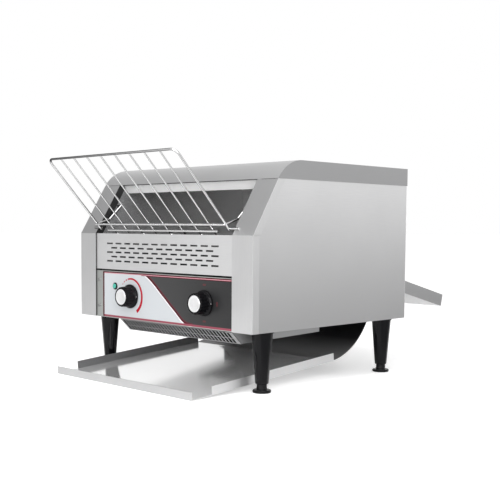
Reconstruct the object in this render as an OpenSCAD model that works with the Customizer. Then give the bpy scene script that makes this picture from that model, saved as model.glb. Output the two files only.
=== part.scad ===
// Conveyor toaster: bread slides down a wire rack onto a moving belt, passes between two rows of
// heater tubes and drops at the rear, onto a slide that returns it to the front or onto a rear chute.
// Millimetres. X runs to the right, Y to the rear, Z up. Drawn with Y = 0 at the body's front face,
// then moved so that the origin lies under the middle of the whole outline, on the table.

/* [Body] */
// Width over the side flanges
body_w = 465; // [450:1:520]
// Depth from the front face to the rear face
body_d = 420; // [405:1:470]
// Height of the top above the table
top_h = 385; // [375:1:430]
// Height of the underside above the table
belly_h = 102; // [96:1:120]
// Thickness of the outer sheet metal
sheet = 1; // [0.8:0.1:1.5]
// Thickness of the base plate and the inner walls
plate = 1.2; // [1:0.1:2]
// Depth of the folded edge round the top cover
cover_drop = 32; // [24:1:34]
// Radius of the bend between the sloping front and the top
bend_r = 70; // [50:1:75]
// Slope of the upper front, from the horizontal
slope_angle = 58; // [54:1:64]
// Height of the sill, where the upright front ends
sill_h = 260; // [252:1:266]

/* [Front] */
// Width of the bread opening, between the two front columns
open_w = 370; // [350:1:380]
// Width of the column's flange that laps the side panel
lap = 15; // [10:1:20]
// Depth of the column's flange that lines the opening
lining = 14; // [12:1:18]
// Setback of the front panels behind the columns
recess = 2; // [1:0.5:4]
// Height of the joint between the vent panel and the control panel
split_h = 190; // [186:1:198]
// Depth of the hood lip below the cover, measured to the rear
hood_run = 18.3; // [14:0.1:24]
// Fall of the hood lip
hood_fall = 15.4; // [12:0.1:20]

/* [Vent panel] */
// Rows of slots
vent_rows = 5; // [3:1:6]
// Slots in a full row
vent_count = 12; // [8:1:12]
// Spacing of the slots along a row
vent_pitch = 26; // [22:0.5:28]
// Spacing of the rows
vent_row_pitch = 8.2; // [7:0.1:9]
// Length of a slot
vent_len = 17.3; // [10:0.1:19]
// Height of a slot
vent_h = 2.8; // [2:0.1:4]

/* [Controls] */
// Height of the knob axes
knob_z = 145.5; // [140:0.5:152]
// Place of the speed knob, from the middle
speed_x = -80; // [-90:1:-70]
// Place of the heat selector knob, from the middle
select_x = 118; // [100:1:130]
// Place of the power lamp, from the middle
lamp_x = -126.5; // [-132:0.5:-124]
// Height of the power lamp
lamp_z = 162; // [158:0.5:168]
// Diameter of a knob's skirt
skirt_d = 44; // [40:1:48]
// Diameter of a knob's grip
grip_d = 36; // [30:1:38]
// Height of a knob
knob_h = 23; // [20:0.5:28]
// Diameter of the bright cap on a knob
cap_d = 28.5; // [24:0.5:30]
// Width of the bare strip beside the control overlay
bare_strip = 21; // [18:1:30]
// Thickness of the control overlay
overlay_t = 0.4; // [0.3:0.1:0.8]
// Diameter of a control spindle
spindle_d = 6; // [5:0.5:6]

/* [Conveyor] */
// Height of the belt's upper surface below the sill
belt_below = 6; // [4:0.5:10]
// Diameter over the belt where it turns
turn_d = 48; // [44:1:52]
// Thickness of the belt
belt_t = 3; // [2.5:0.1:4]
// Gap between the belt's edge and the inner wall
belt_side = 24; // [16:1:40]
// Distance from the front face to the belt's front turn
belt_front = 19.5; // [18.5:0.5:24]
// Clear drop behind the belt's rear turn
drop_gap = 62; // [50:1:75]
// Cross rods in the belt
belt_rods = 54; // [40:2:60]
// Diameter of the two belt shafts
shaft_d = 10; // [8:1:12]

/* [Drive] */
// Spacing of the chain's rollers
chain_pitch = 8; // [7.5:0.25:9]
// Teeth on the motor's sprocket
motor_teeth = 10; // [9:1:12]
// Teeth on the belt's sprocket
drive_teeth = 16; // [14:1:20]
// Distance from the front face to the motor's axis
motor_y = 150; // [130:1:165]
// Height of the motor's axis
motor_z = 146; // [142:1:150]

/* [Heaters] */
// Diameter of a heater tube
heater_d = 8; // [6:0.5:10]
// Upper heater tubes
upper_count = 5; // [3:1:5]
// Lower heater tubes
lower_count = 4; // [2:1:4]
// Upper tubes' axis below the top
upper_drop = 28; // [26:0.5:32]

/* [Feed rack] */
// Slope of the rack, from the horizontal
rack_angle = 46.8; // [42:0.2:50]
// Length of the rack above its cross bar
rack_reach = 156; // [120:1:190]
// Bread wires between the side wires
rack_wires = 8; // [6:2:8]
// Diameter of the frame wire
frame_d = 4; // [3.5:0.5:5]
// Diameter of the bread wires
wire_d = 3; // [2.5:0.1:3.5]

/* [Toast tray] */
// How far the tray's lip stands in front of the body
tray_out = 87.5; // [70:0.5:110]
// Slope of the tray's floor
tray_angle = 4.6; // [4:0.1:5]
// Height of the tray's lip
lip_h = 13.5; // [8:0.5:18]
// Height of the tray's side walls
tray_wall = 15; // [8:0.5:18]
// Radius of the slide behind the tray's floor
slide_r = 139; // [120:1:145]
// Steepest slope of the slide
slide_end = 60; // [54:1:62]

/* [Rear chute] */
// Slope of the chute
chute_angle = 14; // [10:0.5:16]
// How far the chute stands out of the rear face
chute_out = 200; // [120:1:240]
// Height of the chute's side walls
chute_wall = 24.5; // [16:0.5:28]

/* [Legs] */
// Distance of the front legs' axes from the front face
leg_front = 50; // [35:1:60]
// Distance of the rear legs' axes from the rear face
leg_rear = 41; // [35:1:60]
// Diameter of a leg's flange
leg_flange_d = 39; // [36:1:40]
// Diameter of a leg under its flange
leg_top_d = 36.5; // [28:0.5:37]
// Diameter of a leg at its lower end
leg_low_d = 22.5; // [19:0.5:26]
// Diameter of a levelling foot
pad_d = 31; // [28:1:38]
// Thickness of a levelling foot
pad_h = 5; // [4:0.5:8]

/* [Hidden] */

$fn = 48;
eps = 0.01;                 // overshoot of a cut
gap = 0.3;                  // space between neighbours that move apart
run_fit = 0.05;             // radial clearance of a shaft in its bore
seam = 0.6;                 // joint between two outer sheets

// Faces of the body
side_x = body_w / 2;                    // outside of the columns and the cover
panel_x = side_x - sheet;               // outside of the side panels
inside_x = panel_x - sheet;             // inside of the side panels
half_open = open_w / 2;                 // opening's edge
wall_in = half_open + sheet;            // inner wall, side towards the belt
wall_out = wall_in + plate;             // inner wall, side towards the drive
rear_in = body_d - 2 * sheet;           // inside of the rear panel
floor_top = belly_h + plate;            // upper side of the base plate
cover_h = top_h - cover_drop;           // lower edge of the top cover
panel_back = recess + sheet;            // rear side of the front panels

// Bend between the sloping front and the top
bend_y = (top_h - sill_h) / tan(slope_angle) + bend_r * tan(slope_angle / 2);
bend_z = top_h - bend_r;

// Belt and shafts
belt_z = sill_h - belt_below;
axis_z = belt_z - turn_d / 2;
turn_r = turn_d / 2;
idler_y = belt_front + turn_r;
baffle_y = body_d - 22;
drive_y = baffle_y - drop_gap - turn_r;
belt_x = half_open - belt_side;
roller_r = turn_r - belt_t - gap;
roller_w = 8;
shaft_r = shaft_d / 2;
bush_r = shaft_r + 3;
bush_flange_r = bush_r + 3;
bush_flange_t = 2.2;
bush_in = 3;

// Chain drive in the left side space
chain_x = -(wall_out + 13);
chain_half = 2.2;                       // half the space between the inner link plates
link_t = 0.9;
link_h = 6;
roller_d = 5;
motor_pitch_r = chain_pitch / (2 * sin(180 / motor_teeth));
drive_pitch_r = chain_pitch / (2 * sin(180 / drive_teeth));
sprocket_t = 2 * chain_half - 1.6;
motor_shaft_r = 4;
gearbox = [30, 56, 58];

// Heaters
heater_r = heater_d / 2;
upper_z = top_h - upper_drop;
upper_first = 108;
upper_last = drive_y - 6;
lower_z = belt_z - belt_t - 9 - heater_r;
lower_first = idler_y + 46;
lower_last = drive_y - 46;
insulator_r = heater_r + 3;

// Heat shield over the electrics
shield_gap = 12;                        // space between the belt's lower run and the shield
shield_h = axis_z - turn_r - shield_gap;
shield_y = 250;
vent_gap = 6;                           // from the vent panel to the shield's upstand
vent_top = 23;                          // from the sill to the upstand's upper edge
vent_open = 56;                         // width left open at the left end

// Rear outlet
outlet_z = 159;
outlet_top = outlet_z + 58;
chute_z = outlet_z + 1.4;               // chute floor's underside at the rear panel's inside
chute_half = half_open - 1;
chute_slope = tan(chute_angle);
chute_in_y = baffle_y + 1;

// Feed rack: its plane passes through rack_y, rack_z
rack_y = -4.8;
rack_z = sill_h + 19;
frame_r = frame_d / 2;
wire_r = wire_d / 2;
rack_pitch = (open_w - 22) / (rack_wires + 1);
rack_half = rack_pitch * (rack_wires + 1) / 2;
weld = frame_r + wire_r - 0.5;          // bars lie under the wires, welded
peg_y = 6;
peg_z = sill_h + 10.5;
peg_end = half_open + 10;
hook_z = sill_h + 53;
hook_y = (hook_z - sill_h) / tan(slope_angle) + (lining + frame_r + gap) / sin(slope_angle);
hook_x = wall_in - gap;
bar_low = -15;                          // second cross bar, down the rack from the first
tail = -28;                             // lower end of the bread wires
rack_bend = 12;
tail_bend = 5;

// Tray and slide
tray_z = 0.3;
tray_wall_front = tray_out - 45;
tray_wall_rear = 10;            // the side walls end this far beyond the tray's fold
slide_back = 176.4;                     // from the slide's centre to the body's rear face
slide_y = body_d - slide_back;
slide_z = tray_z + (slide_y + tray_out) * tan(tray_angle) + slide_r / cos(tray_angle);
tray_half = half_open;

// Air duct under the base
duct_w = 295.5;
duct_left = half_open - duct_w;
duct_front = 24;
duct_rear = 222;
duct_front_h = 21;
duct_rear_h = 15.5;
fan_x = (duct_left + half_open) / 2;
fan_y = 130;
fan_w = 120;
fan_h = 38;
fan_bore_r = 57;
fan_bolt = 105 / 2;
fan_hub_r = 21;
fan_hub_h = 24;
fan_base_h = 9;                         // height of the frame's own hub under the rotor
fan_pin_r = 2.5;

// Legs
leg_x = wall_out + leg_flange_d / 2;    // the flange ends below the inner wall
leg_flange_t = 3;
foot_collar = 9;
leg_low_z = pad_h + foot_collar + gap;
stud_r = 5;
stud_top = 48;
bolt_r = 4;
bolt_in = 18;

// The whole outline, front to rear, and its middle
outline_front = rack_y - rack_reach * cos(rack_angle) - frame_r;
outline_rear = body_d + chute_out + chute_wall * sin(chute_angle);
mid_y = (outline_front + outline_rear) / 2;

// Sheet metal from its path: points on one face, thickness t to the left of the way
function unit(v) = v / norm(v);
function left_of(v) = [-v[1], v[0]];
function heading(p, i) = unit(p[i + 1] - p[i]);
function shifted(p, i, t) =
    i == 0 ? p[0] + t * left_of(heading(p, 0))
    : i == len(p) - 1 ? p[i] + t * left_of(heading(p, i - 1))
    : let (a = heading(p, i - 1), b = heading(p, i))
      p[i] + (left_of(a) + left_of(b)) * t / (1 + a * b);
function band(p, t) = concat(p, [for (i = [len(p) - 1 : -1 : 0]) shifted(p, i, t)]);

// Height of the sloping front's inset line at y, and the inset line's place at height z
function front_at(z, d) = (z - sill_h) / tan(slope_angle) + d / sin(slope_angle);
// The cover's inner face at height z, also where it bends
function cover_inside(z) = z < bend_z + (bend_r - sheet) * cos(slope_angle) ? front_at(z, sheet)
    : bend_y - sqrt(pow(bend_r - sheet, 2) - pow(z - bend_z, 2));

module home() translate([0, -mid_y, 0]) children();
module on_side(s) mirror([s < 0 ? 1 : 0, 0, 0]) children();

// A profile drawn in Y and Z, carried along X from x0 to x1
module along_x(x0, x1) translate([x0, 0, 0]) rotate([90, 0, 90]) linear_extrude(x1 - x0) children();
// A cylinder along X from x0 to x1 about the axis y, z
module rod_x(x0, x1, y, z, r) translate([x0, y, z]) rotate([0, 90, 0]) cylinder(h = x1 - x0, r = r);
// A cylinder along Y from y0 to y1 about the axis x, z
module rod_y(y0, y1, x, z, r) translate([x, y0, z]) rotate([-90, 0, 0]) cylinder(h = y1 - y0, r = r);
// A round bar between two points
module bar(a, b, r) {
    v = b - a;
    translate(a) rotate([0, acos(v[2] / norm(v)), atan2(v[1], v[0])]) cylinder(h = norm(v), r = r);
}
module block(lo, hi) translate(lo) cube(hi - lo);

// The body's outline in Y and Z, inset by d, from height z0 and as deep as y1
module outline(d, y1, z0) {
    r = bend_r - d;
    centre = [bend_y, bend_z];
    start = centre + r * [-sin(slope_angle), cos(slope_angle)];
    corner = [bend_y - r * tan(slope_angle / 2), top_h - d];
    difference() {
        polygon([[d, z0], [d, sill_h - d * (1 / sin(slope_angle) - 1) * tan(slope_angle)], corner,
            [y1, top_h - d], [y1, z0]]);
        difference() {
            polygon([start, 2 * corner - centre, centre + [0, r]]);
            translate(centre) circle(r = r, $fn = 96);
        }
    }
}
module slab(z0, z1) translate([-eps, z0]) square([body_d + 2, z1 - z0]);
// The front strip of the outline, d deep, between two heights
module front_strip(d, z0, z1) intersection() {
    difference() {
        outline(0, body_d, belly_h);
        outline(d, body_d + 1, belly_h - 1);
    }
    slab(z0, z1);
}

// A loop round two circles in one plane: its outer shape, and the point and turn at length s
function tangent(c1, r1, c2, r2, side) =
    let (u = unit(c2 - c1), k = (r1 - r2) / norm(c2 - c1)) u * k + side * left_of(u) * sqrt(1 - k * k);
module loop_shape(c1, r1, c2, r2) {
    a = tangent(c1, r1, c2, r2, 1);
    b = tangent(c1, r1, c2, r2, -1);
    translate(c1) circle(r = r1, $fn = 72);
    translate(c2) circle(r = r2, $fn = 72);
    polygon([c1 + r1 * a, c1 + r1 * b, c2 + r2 * b, c2 + r2 * a]);
}
function loop_run(c1, r1, c2, r2) = sqrt(pow(norm(c2 - c1), 2) - pow(r1 - r2, 2));
function loop_lean(c1, r1, c2, r2) = asin((r1 - r2) / norm(c2 - c1));
function loop_parts(c1, r1, c2, r2) =
    let (b = loop_lean(c1, r1, c2, r2), t = loop_run(c1, r1, c2, r2))
    [t, PI * r2 * (180 - 2 * b) / 180, t, PI * r1 * (180 + 2 * b) / 180];
function loop_length(c1, r1, c2, r2) =
    let (p = loop_parts(c1, r1, c2, r2)) p[0] + p[1] + p[2] + p[3];
function turned(v, a) = [v[0] * cos(a) - v[1] * sin(a), v[0] * sin(a) + v[1] * cos(a)];
function loop_point(c1, r1, c2, r2, s) =
    let (p = loop_parts(c1, r1, c2, r2),
        up = tangent(c1, r1, c2, r2, 1), low = tangent(c1, r1, c2, r2, -1))
    s < p[0] ? c1 + r1 * up + (c2 + r2 * up - c1 - r1 * up) * s / p[0]
    : s < p[0] + p[1] ? c2 + turned(up * r2, -(s - p[0]) / r2 * 180 / PI)
    : s < p[0] + p[1] + p[2] ? c2 + r2 * low + (c1 + r1 * low - c2 - r2 * low)
        * (s - p[0] - p[1]) / p[2]
    : c1 + turned(low * r1, -(s - p[0] - p[1] - p[2]) / r1 * 180 / PI);

// ---- Casing ----

module base_plate() color("silver") home() difference() {
    union() {
        block([-inside_x, sheet, belly_h], [inside_x, rear_in, floor_top]);
        for (s = [-1, 1]) on_side(s)
            block([inside_x - plate, lap + 1, belly_h], [inside_x, rear_in, floor_top + 14]);
        block([-inside_x, rear_in - plate, belly_h], [inside_x, rear_in, floor_top + 14]);
        block([-half_open, panel_back, belly_h], [half_open, panel_back + plate, floor_top + 12]);
    }
    block([-half_open, 0, belly_h - 1], [half_open, panel_back, floor_top + 1]);
    block([-wall_in, shield_y, belly_h - 1], [wall_in, baffle_y + 4, floor_top + 1]);
    translate([fan_x, fan_y, belly_h - 1]) cylinder(h = plate + 2, r = fan_bore_r - 2);
    for (p = leg_places()) translate([p[0], p[1], belly_h - 1]) cylinder(h = plate + 2, r = bolt_r);
    rear_screw_holes();
}

module side_panel(s) color("gainsboro") home() on_side(s)
    along_x(inside_x, panel_x) outline(sheet, rear_in, belly_h);

module front_column(s) color("silver") home() on_side(s) difference() {
    union() {
        along_x(half_open, side_x) front_strip(sheet, belly_h, cover_h - seam);
        along_x(panel_x, side_x) front_strip(lap, belly_h, cover_h - seam);
        along_x(half_open, wall_in) front_strip(lining, floor_top, cover_h - seam);
    }
    // Relief cut in the lap at the bend, and the slot that the rack's peg drops into
    block([panel_x - eps, recess + 1, sill_h - 1], [side_x + 1, lap + 12, sill_h + 1]);
    along_x(half_open - 1, peg_end + gap) {
        translate([peg_y, peg_z]) circle(r = frame_r + run_fit);
        translate([peg_y, peg_z]) rotate(90 + slope_angle)
            translate([-frame_r * 3, -frame_r - run_fit]) square([frame_r * 3, frame_d + 2 * run_fit]);
    }
}

module top_cover() color("darkgray") home() difference() {
    along_x(-side_x, side_x) intersection() {
        outline(0, body_d, belly_h);
        slab(cover_h, top_h + 1);
    }
    along_x(-panel_x, panel_x) intersection() {
        outline(sheet, body_d - sheet, belly_h);
        slab(cover_h - 1, top_h + 1);
    }
    rear_screw_holes();
}

hood_flange = [13, 6.6];                // the flange's edge and its bend, above the cover's edge
hood_fit = 0.4;
module front_hood() color("gainsboro") home() along_x(-half_open, half_open)
    polygon(band(concat([for (h = hood_flange) [cover_inside(cover_h + h) + hood_fit, cover_h + h]],
        [[front_at(cover_h, 0) + hood_run, cover_h - hood_fall]]), sheet));

module vent_slots() {
    mid = (split_h + sill_h) / 2;
    for (r = [0 : vent_rows - 1]) {
        n = vent_count - r % 2;
        for (i = [0 : n - 1])
            translate([(i - (n - 1) / 2) * vent_pitch - vent_len / 2, recess - 1,
                mid + ((vent_rows - 1) / 2 - r) * vent_row_pitch - vent_h / 2])
                cube([vent_len, sheet + 2, vent_h]);
    }
}
module vent_panel() color("lightgray") home() difference() {
    block([-half_open, recess, split_h + seam], [half_open, panel_back, sill_h]);
    vent_slots();
}

module control_holes(clear) {
    for (x = [speed_x, select_x]) rod_y(-5, panel_back + 1, x, knob_z, bushing_r + clear);
    rod_y(-5, panel_back + 1, lamp_x, lamp_z, lamp_stem_r + clear);
}
module control_panel() color("silver") home() difference() {
    block([-half_open, recess, belly_h], [half_open, panel_back, split_h]);
    control_holes(0);
    for (z = strip_screws) rod_y(-5, panel_back + 1, strip_screw_x, z, screw_r);
}
module control_overlay() color("whitesmoke") home() difference() {
    block([-half_open + bare_strip, recess - overlay_t, belly_h + 1.5],
        [half_open - 1.5, recess, split_h - 1.5]);
    control_holes(0.4);
}
strip_screw_x = -half_open + 9;
strip_screws = [split_h - 17.5, belly_h + 21];
screw_r = 1.9;
// A pan-head screw whose head faces -Z and whose shank runs up from the face at 0
module screw(len) {
    rotate_extrude() polygon([[0, 0], [0, -1.9], [2, -1.7], [3, -1], [3.3, 0]]);
    cylinder(h = len, r = screw_r);
}
module panel_screws() color("silver") home() for (z = strip_screws)
    translate([strip_screw_x, recess, z]) rotate([-90, 0, 0]) screw(7);

// ---- Rear ----

function rear_screw_places() = concat(
    [for (x = [-0.9, -0.45, 0, 0.45, 0.9]) [x * inside_x, cover_h + cover_drop / 2, 1]],
    [for (s = [-1, 1], z = [belly_h + 8, outlet_z + 90]) [s * (inside_x - 8), z, 0]],
    [for (s = [-1, 1]) [s * inside_x / 2, belly_h + 8, 0]]);
module rear_screw_holes() for (p = rear_screw_places())
    rod_y(rear_in - 3, body_d + 1, p[0], p[1], screw_r);
louvres = 6;                            // in each of two columns
louvre_x = 90;                          // middle of a column, from the middle
louvre_l = 90;
louvre_h = 4;
louvre_pitch = 14;
louvre_rise = 22;                       // from the outlet's top to the lowest louvre
module rear_louvres() for (s = [-1, 1], i = [0 : louvres - 1])
    translate([s * louvre_x - louvre_l / 2, rear_in - 1, outlet_top + louvre_rise + i * louvre_pitch])
        cube([louvre_l, 3, louvre_h]);
module rear_panel() color("silver") home() difference() {
    union() {
        block([-panel_x, rear_in, belly_h], [panel_x, body_d - sheet, top_h - sheet]);
        block([-half_open, rear_in - 14, outlet_z - sheet], [half_open, rear_in, outlet_z]);
    }
    block([-half_open - 0.5, rear_in - 1, outlet_z], [half_open + 0.5, body_d, outlet_top]);
    rear_louvres();
    rear_screw_holes();
    rod_y(rear_in - 1, body_d, gland_x, gland_z, gland_r);
}
module rear_screws() color("silver") home() for (p = rear_screw_places())
    translate([p[0], p[2] == 1 ? body_d : body_d - sheet, p[1]]) rotate([90, 0, 0]) screw(5);

// ---- Toasting chamber ----

function heater_places() = concat(
    [for (i = [0 : upper_count - 1])
        [upper_first + i * (upper_last - upper_first) / (upper_count - 1), upper_z]],
    [for (i = [0 : lower_count - 1])
        [lower_first + i * (lower_last - lower_first) / (lower_count - 1), lower_z]]);
module inner_wall(s) color("dimgray") home() on_side(s) difference() {
    along_x(wall_in, wall_out) outline(lining, rear_in - plate, floor_top);
    for (y = [idler_y, drive_y]) rod_x(wall_in - 1, wall_out + 1, y, axis_z, bush_r);
    for (p = heater_places()) rod_x(wall_in - 1, wall_out + 1, p[0], p[1], insulator_r);
    if (s < 0) rod_x(wall_in - 1, wall_out + 1, motor_y, motor_z, motor_shaft_r + 2);
}

module rear_baffle() color("silver") home() along_x(-wall_in, wall_in)
    polygon(band([[baffle_y, top_h - lining - 4], [baffle_y, outlet_top + sheet],
        [rear_in, outlet_top + sheet]], sheet));

// The shield's front edge is turned up behind the vent slots, except at the left end
module heat_shield() color("silver") home() difference() {
    union() {
        along_x(-wall_in, wall_in) polygon(band([[panel_back + vent_gap, shield_h],
            [shield_y - sheet, shield_h], [shield_y - sheet, floor_top]], sheet));
        along_x(-wall_in + vent_open, wall_in) polygon(band([[panel_back + vent_gap,
            sill_h - vent_top], [panel_back + vent_gap, shield_h],
            [panel_back + vent_gap + 8, shield_h]], sheet));
    }
    for (s = [-1, 1]) on_side(s)
        block([half_open, 0, floor_top], [wall_in + 1, lining, sill_h]);
}

module upper_reflector() color("gainsboro") home() along_x(-wall_in, wall_in)
    polygon(band([[front_at(cover_h, 0) + hood_run + 4, cover_h - hood_fall + 5],
        [front_at(cover_h, 0) + hood_run + 18, top_h - lining - 5],
        [baffle_y - gap, top_h - lining - 5]], sheet));

module lower_reflector() color("gainsboro") home() along_x(-wall_in, wall_in)
    polygon(band([[lower_first - 20, lower_z + 2], [lower_first - 12, lower_z - 12],
        [lower_last + 12, lower_z - 12], [lower_last + 20, lower_z + 2]], sheet));

module heater(p) {
    rod_x(-wall_out - 6, wall_out + 6, p[0], p[1], heater_r);
    rod_x(-wall_out - 14, wall_out + 14, p[0], p[1], 1.5);
}
module upper_heaters() color("slategray") home()
    for (i = [0 : upper_count - 1]) heater(heater_places()[i]);
module lower_heaters() color("slategray") home()
    for (i = [0 : lower_count - 1]) heater(heater_places()[upper_count + i]);
module heater_insulators() color("ivory") home() for (s = [-1, 1], p = heater_places())
    on_side(s) difference() {
        union() {
            rod_x(wall_in - 2, wall_out + 4, p[0], p[1], insulator_r);
            rod_x(wall_out, wall_out + 4, p[0], p[1], insulator_r + 2);
        }
        rod_x(wall_in - 3, wall_out + 5, p[0], p[1], heater_r);
    }

// ---- Cooling ----

duct_slant = [[recess, belly_h], [duct_front, belly_h - duct_front_h]];
duct_low = belly_h - duct_rear_h;
module duct_outline() polygon([duct_slant[0], [duct_rear, belly_h], [duct_rear, duct_low],
    duct_slant[1]]);
module air_duct() color("silver") home() {
    for (x = [duct_left, half_open - sheet]) along_x(x, x + sheet) duct_outline();
    along_x(duct_left, half_open) polygon(band([duct_slant[1], [duct_rear, duct_low],
        [duct_rear, belly_h]], sheet));
}
grille_angle = atan2(duct_front_h, duct_front - recess);
grille_pitch = 8.6;
grille_slot = 5.2;
grille_rows = [[2.4, 12.6], [17.4, 10]];    // start down the slant, and length
module intake_grille() color("silver") home() difference() {
    along_x(duct_left, half_open)
        polygon(band([duct_slant[1], duct_slant[0]], sheet));
    n = floor((half_open - duct_left - 10) / grille_pitch);
    translate([0, duct_slant[0][0], duct_slant[0][1]]) rotate([-grille_angle, 0, 0])
        for (i = [0 : n - 1], r = grille_rows)
            translate([duct_left + 6 + i * grille_pitch, r[0], -4]) cube([grille_slot, r[1], 9]);
}

module fan_housing() color("dimgray") home() translate([fan_x, fan_y, floor_top]) {
    difference() {
        translate([-fan_w / 2, -fan_w / 2, 0]) cube([fan_w, fan_w, fan_h]);
        translate([0, 0, -1]) cylinder(h = fan_h + 2, r = fan_bore_r);
        for (x = [-1, 1], y = [-1, 1]) translate([x * fan_bolt, y * fan_bolt, -1])
            cylinder(h = fan_h + 2, r = 2.2);
    }
    cylinder(h = fan_base_h, r = fan_hub_r);
    for (a = [45 : 90 : 315]) rotate(a) translate([fan_hub_r - 3, -2.5, 0])
        cube([fan_bore_r - fan_hub_r + 5, 5, 4]);
    cylinder(h = fan_base_h + 13, r = fan_pin_r);
}
module fan_rotor() color("black") home() translate([fan_x, fan_y, floor_top + fan_base_h + gap]) {
    difference() {
        cylinder(h = fan_hub_h, r = fan_hub_r);
        translate([0, 0, -1]) cylinder(h = 14, r = fan_pin_r + run_fit);
    }
    for (a = [0 : 360 / 7 : 359]) rotate(a) translate([fan_hub_r - 1, 0, fan_hub_h / 2])
        rotate([38, 0, 0]) translate([0, -1, -fan_hub_h / 2 - 1])
            cube([fan_bore_r - fan_hub_r - 2, 2, fan_hub_h + 2]);
}

// ---- Drive ----

idler_c = [idler_y, axis_z];
drive_c = [drive_y, axis_z];
motor_c = [motor_y, motor_z];

module sprocket(teeth, pitch_r, bore) {
    tip = pitch_r - roller_d / 2 - gap;
    difference() {
        union() {
            cylinder(h = sprocket_t, r = tip - 2.4, center = true);
            for (i = [0 : teeth - 1]) rotate(i * 360 / teeth)
                linear_extrude(sprocket_t, center = true)
                    polygon([[tip - 4, -1.9], [tip, -0.8], [tip, 0.8], [tip - 4, 1.9]]);
            translate([0, 0, -sprocket_t / 2 - 5]) cylinder(h = 5 + eps, r = bore + 3.5);
        }
        cylinder(h = 30, r = bore, center = true);
    }
}
module motor_sprocket() color("gray") home()
    translate([chain_x, motor_y, motor_z]) rotate([0, 90, 0]) rotate([180, 0, 0])
        sprocket(motor_teeth, motor_pitch_r, motor_shaft_r);
module drive_sprocket() color("gray") home()
    translate([chain_x, drive_y, axis_z]) rotate([0, 90, 0]) rotate([180, 0, 0])
        sprocket(drive_teeth, drive_pitch_r, shaft_r);
module drive_chain() color("dimgray") home() {
    length = loop_length(motor_c, motor_pitch_r, drive_c, drive_pitch_r);
    links = round(length / chain_pitch);
    for (s = [-1, 1]) translate([chain_x + s * (chain_half + link_t / 2), 0, 0])
        along_x(-link_t / 2, link_t / 2) difference() {
            loop_shape(motor_c, motor_pitch_r + link_h / 2, drive_c, drive_pitch_r + link_h / 2);
            loop_shape(motor_c, motor_pitch_r - link_h / 2, drive_c, drive_pitch_r - link_h / 2);
        }
    for (i = [0 : links - 1]) {
        p = loop_point(motor_c, motor_pitch_r, drive_c, drive_pitch_r, (i + 0.5) * length / links);
        rod_x(chain_x - chain_half - link_t / 2, chain_x + chain_half + link_t / 2, p[0], p[1],
            roller_d / 2);
    }
}

module gearmotor() color("gray") home() difference() {
    union() {
        block([-wall_in, motor_y - gearbox[1] / 2, motor_z - gearbox[2] / 2],
            [-wall_in + gearbox[0], motor_y + gearbox[1] / 2, motor_z + gearbox[2] / 2]);
        rod_x(-wall_in + gearbox[0] - eps, -wall_in + gearbox[0] + 52, motor_y, motor_z, 26);
        rod_x(-wall_in + gearbox[0] + 52 - eps, -wall_in + gearbox[0] + 58, motor_y, motor_z, 9);
        block([-wall_in + 4, motor_y - 20, floor_top], [-wall_in + 24, motor_y + 20, motor_z]);
    }
    rod_x(-wall_in - 1, -wall_in + 20, motor_y, motor_z, motor_shaft_r + run_fit);
}
module motor_shaft() color("silver") home()
    rod_x(chain_x - 5, -wall_in + 19, motor_y, motor_z, motor_shaft_r);

// The belt's rollers carry low teeth that end just under the belt
module belt_rollers(y) for (x = [-1, 0, 1]) translate([x * (belt_x - 30), y, axis_z])
    rotate([0, 90, 0]) difference() {
        union() {
            cylinder(h = roller_w, r = roller_r - 3, center = true);
            for (a = [0 : 30 : 330]) rotate(a) linear_extrude(roller_w, center = true)
                polygon([[roller_r - 4, -3.2], [roller_r, -1.6], [roller_r, 1.6],
                    [roller_r - 4, 3.2]]);
            cylinder(h = roller_w + 10, r = shaft_r + 3, center = true);
        }
        cylinder(h = 60, r = shaft_r, center = true);
    }
collar_x = wall_out + bush_flange_t + gap;
module drive_shaft() color("silver") home() {
    rod_x(chain_x - 6, collar_x + 5, drive_y, axis_z, shaft_r);
    rod_x(collar_x, collar_x + 5, drive_y, axis_z, shaft_r + 3);
}
module drive_rollers() color("gray") home() belt_rollers(drive_y);
module idler_shaft() color("silver") home() {
    rod_x(-collar_x - 5, collar_x + 5, idler_y, axis_z, shaft_r);
    for (s = [-1, 1]) on_side(s) rod_x(collar_x, collar_x + 5, idler_y, axis_z, shaft_r + 3);
}
module idler_rollers() color("gray") home() belt_rollers(idler_y);
module shaft_bushes() color("goldenrod") home() for (s = [-1, 1], y = [idler_y, drive_y])
    on_side(s) difference() {
        union() {
            rod_x(wall_in - bush_in, wall_out + bush_flange_t, y, axis_z, bush_r);
            rod_x(wall_out, wall_out + bush_flange_t, y, axis_z, bush_flange_r);
        }
        rod_x(wall_in - bush_in - 1, wall_out + bush_flange_t + 1, y, axis_z, shaft_r + run_fit);
    }

belt_strips = 5;
belt_rod_r = 1.1;
module conveyor_belt() color("silver") home() {
    mid_r = turn_r - belt_t / 2;
    length = loop_length(idler_c, mid_r, drive_c, mid_r);
    for (i = [0 : belt_strips - 1])
        translate([(i - (belt_strips - 1) / 2) * (2 * belt_x - 3) / (belt_strips - 1), 0, 0])
            along_x(-1.5, 1.5) difference() {
                loop_shape(idler_c, turn_r, drive_c, turn_r);
                loop_shape(idler_c, turn_r - belt_t, drive_c, turn_r - belt_t);
            }
    for (i = [0 : belt_rods - 1]) {
        p = loop_point(idler_c, mid_r, drive_c, mid_r, (i + 0.5) * length / belt_rods);
        rod_x(-belt_x, belt_x, p[0], p[1], belt_rod_r);
    }
}

// ---- Controls ----

bushing_r = 5;
nut_r = 8;
nut_t = 2.5;
spindle_r = spindle_d / 2;
knob_back = recess - overlay_t - 0.5;   // rear face of a knob
knob_front = knob_back - knob_h;
spindle_tip = knob_front + 6;
control_t = 18;                         // depth of a control behind its panel

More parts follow.
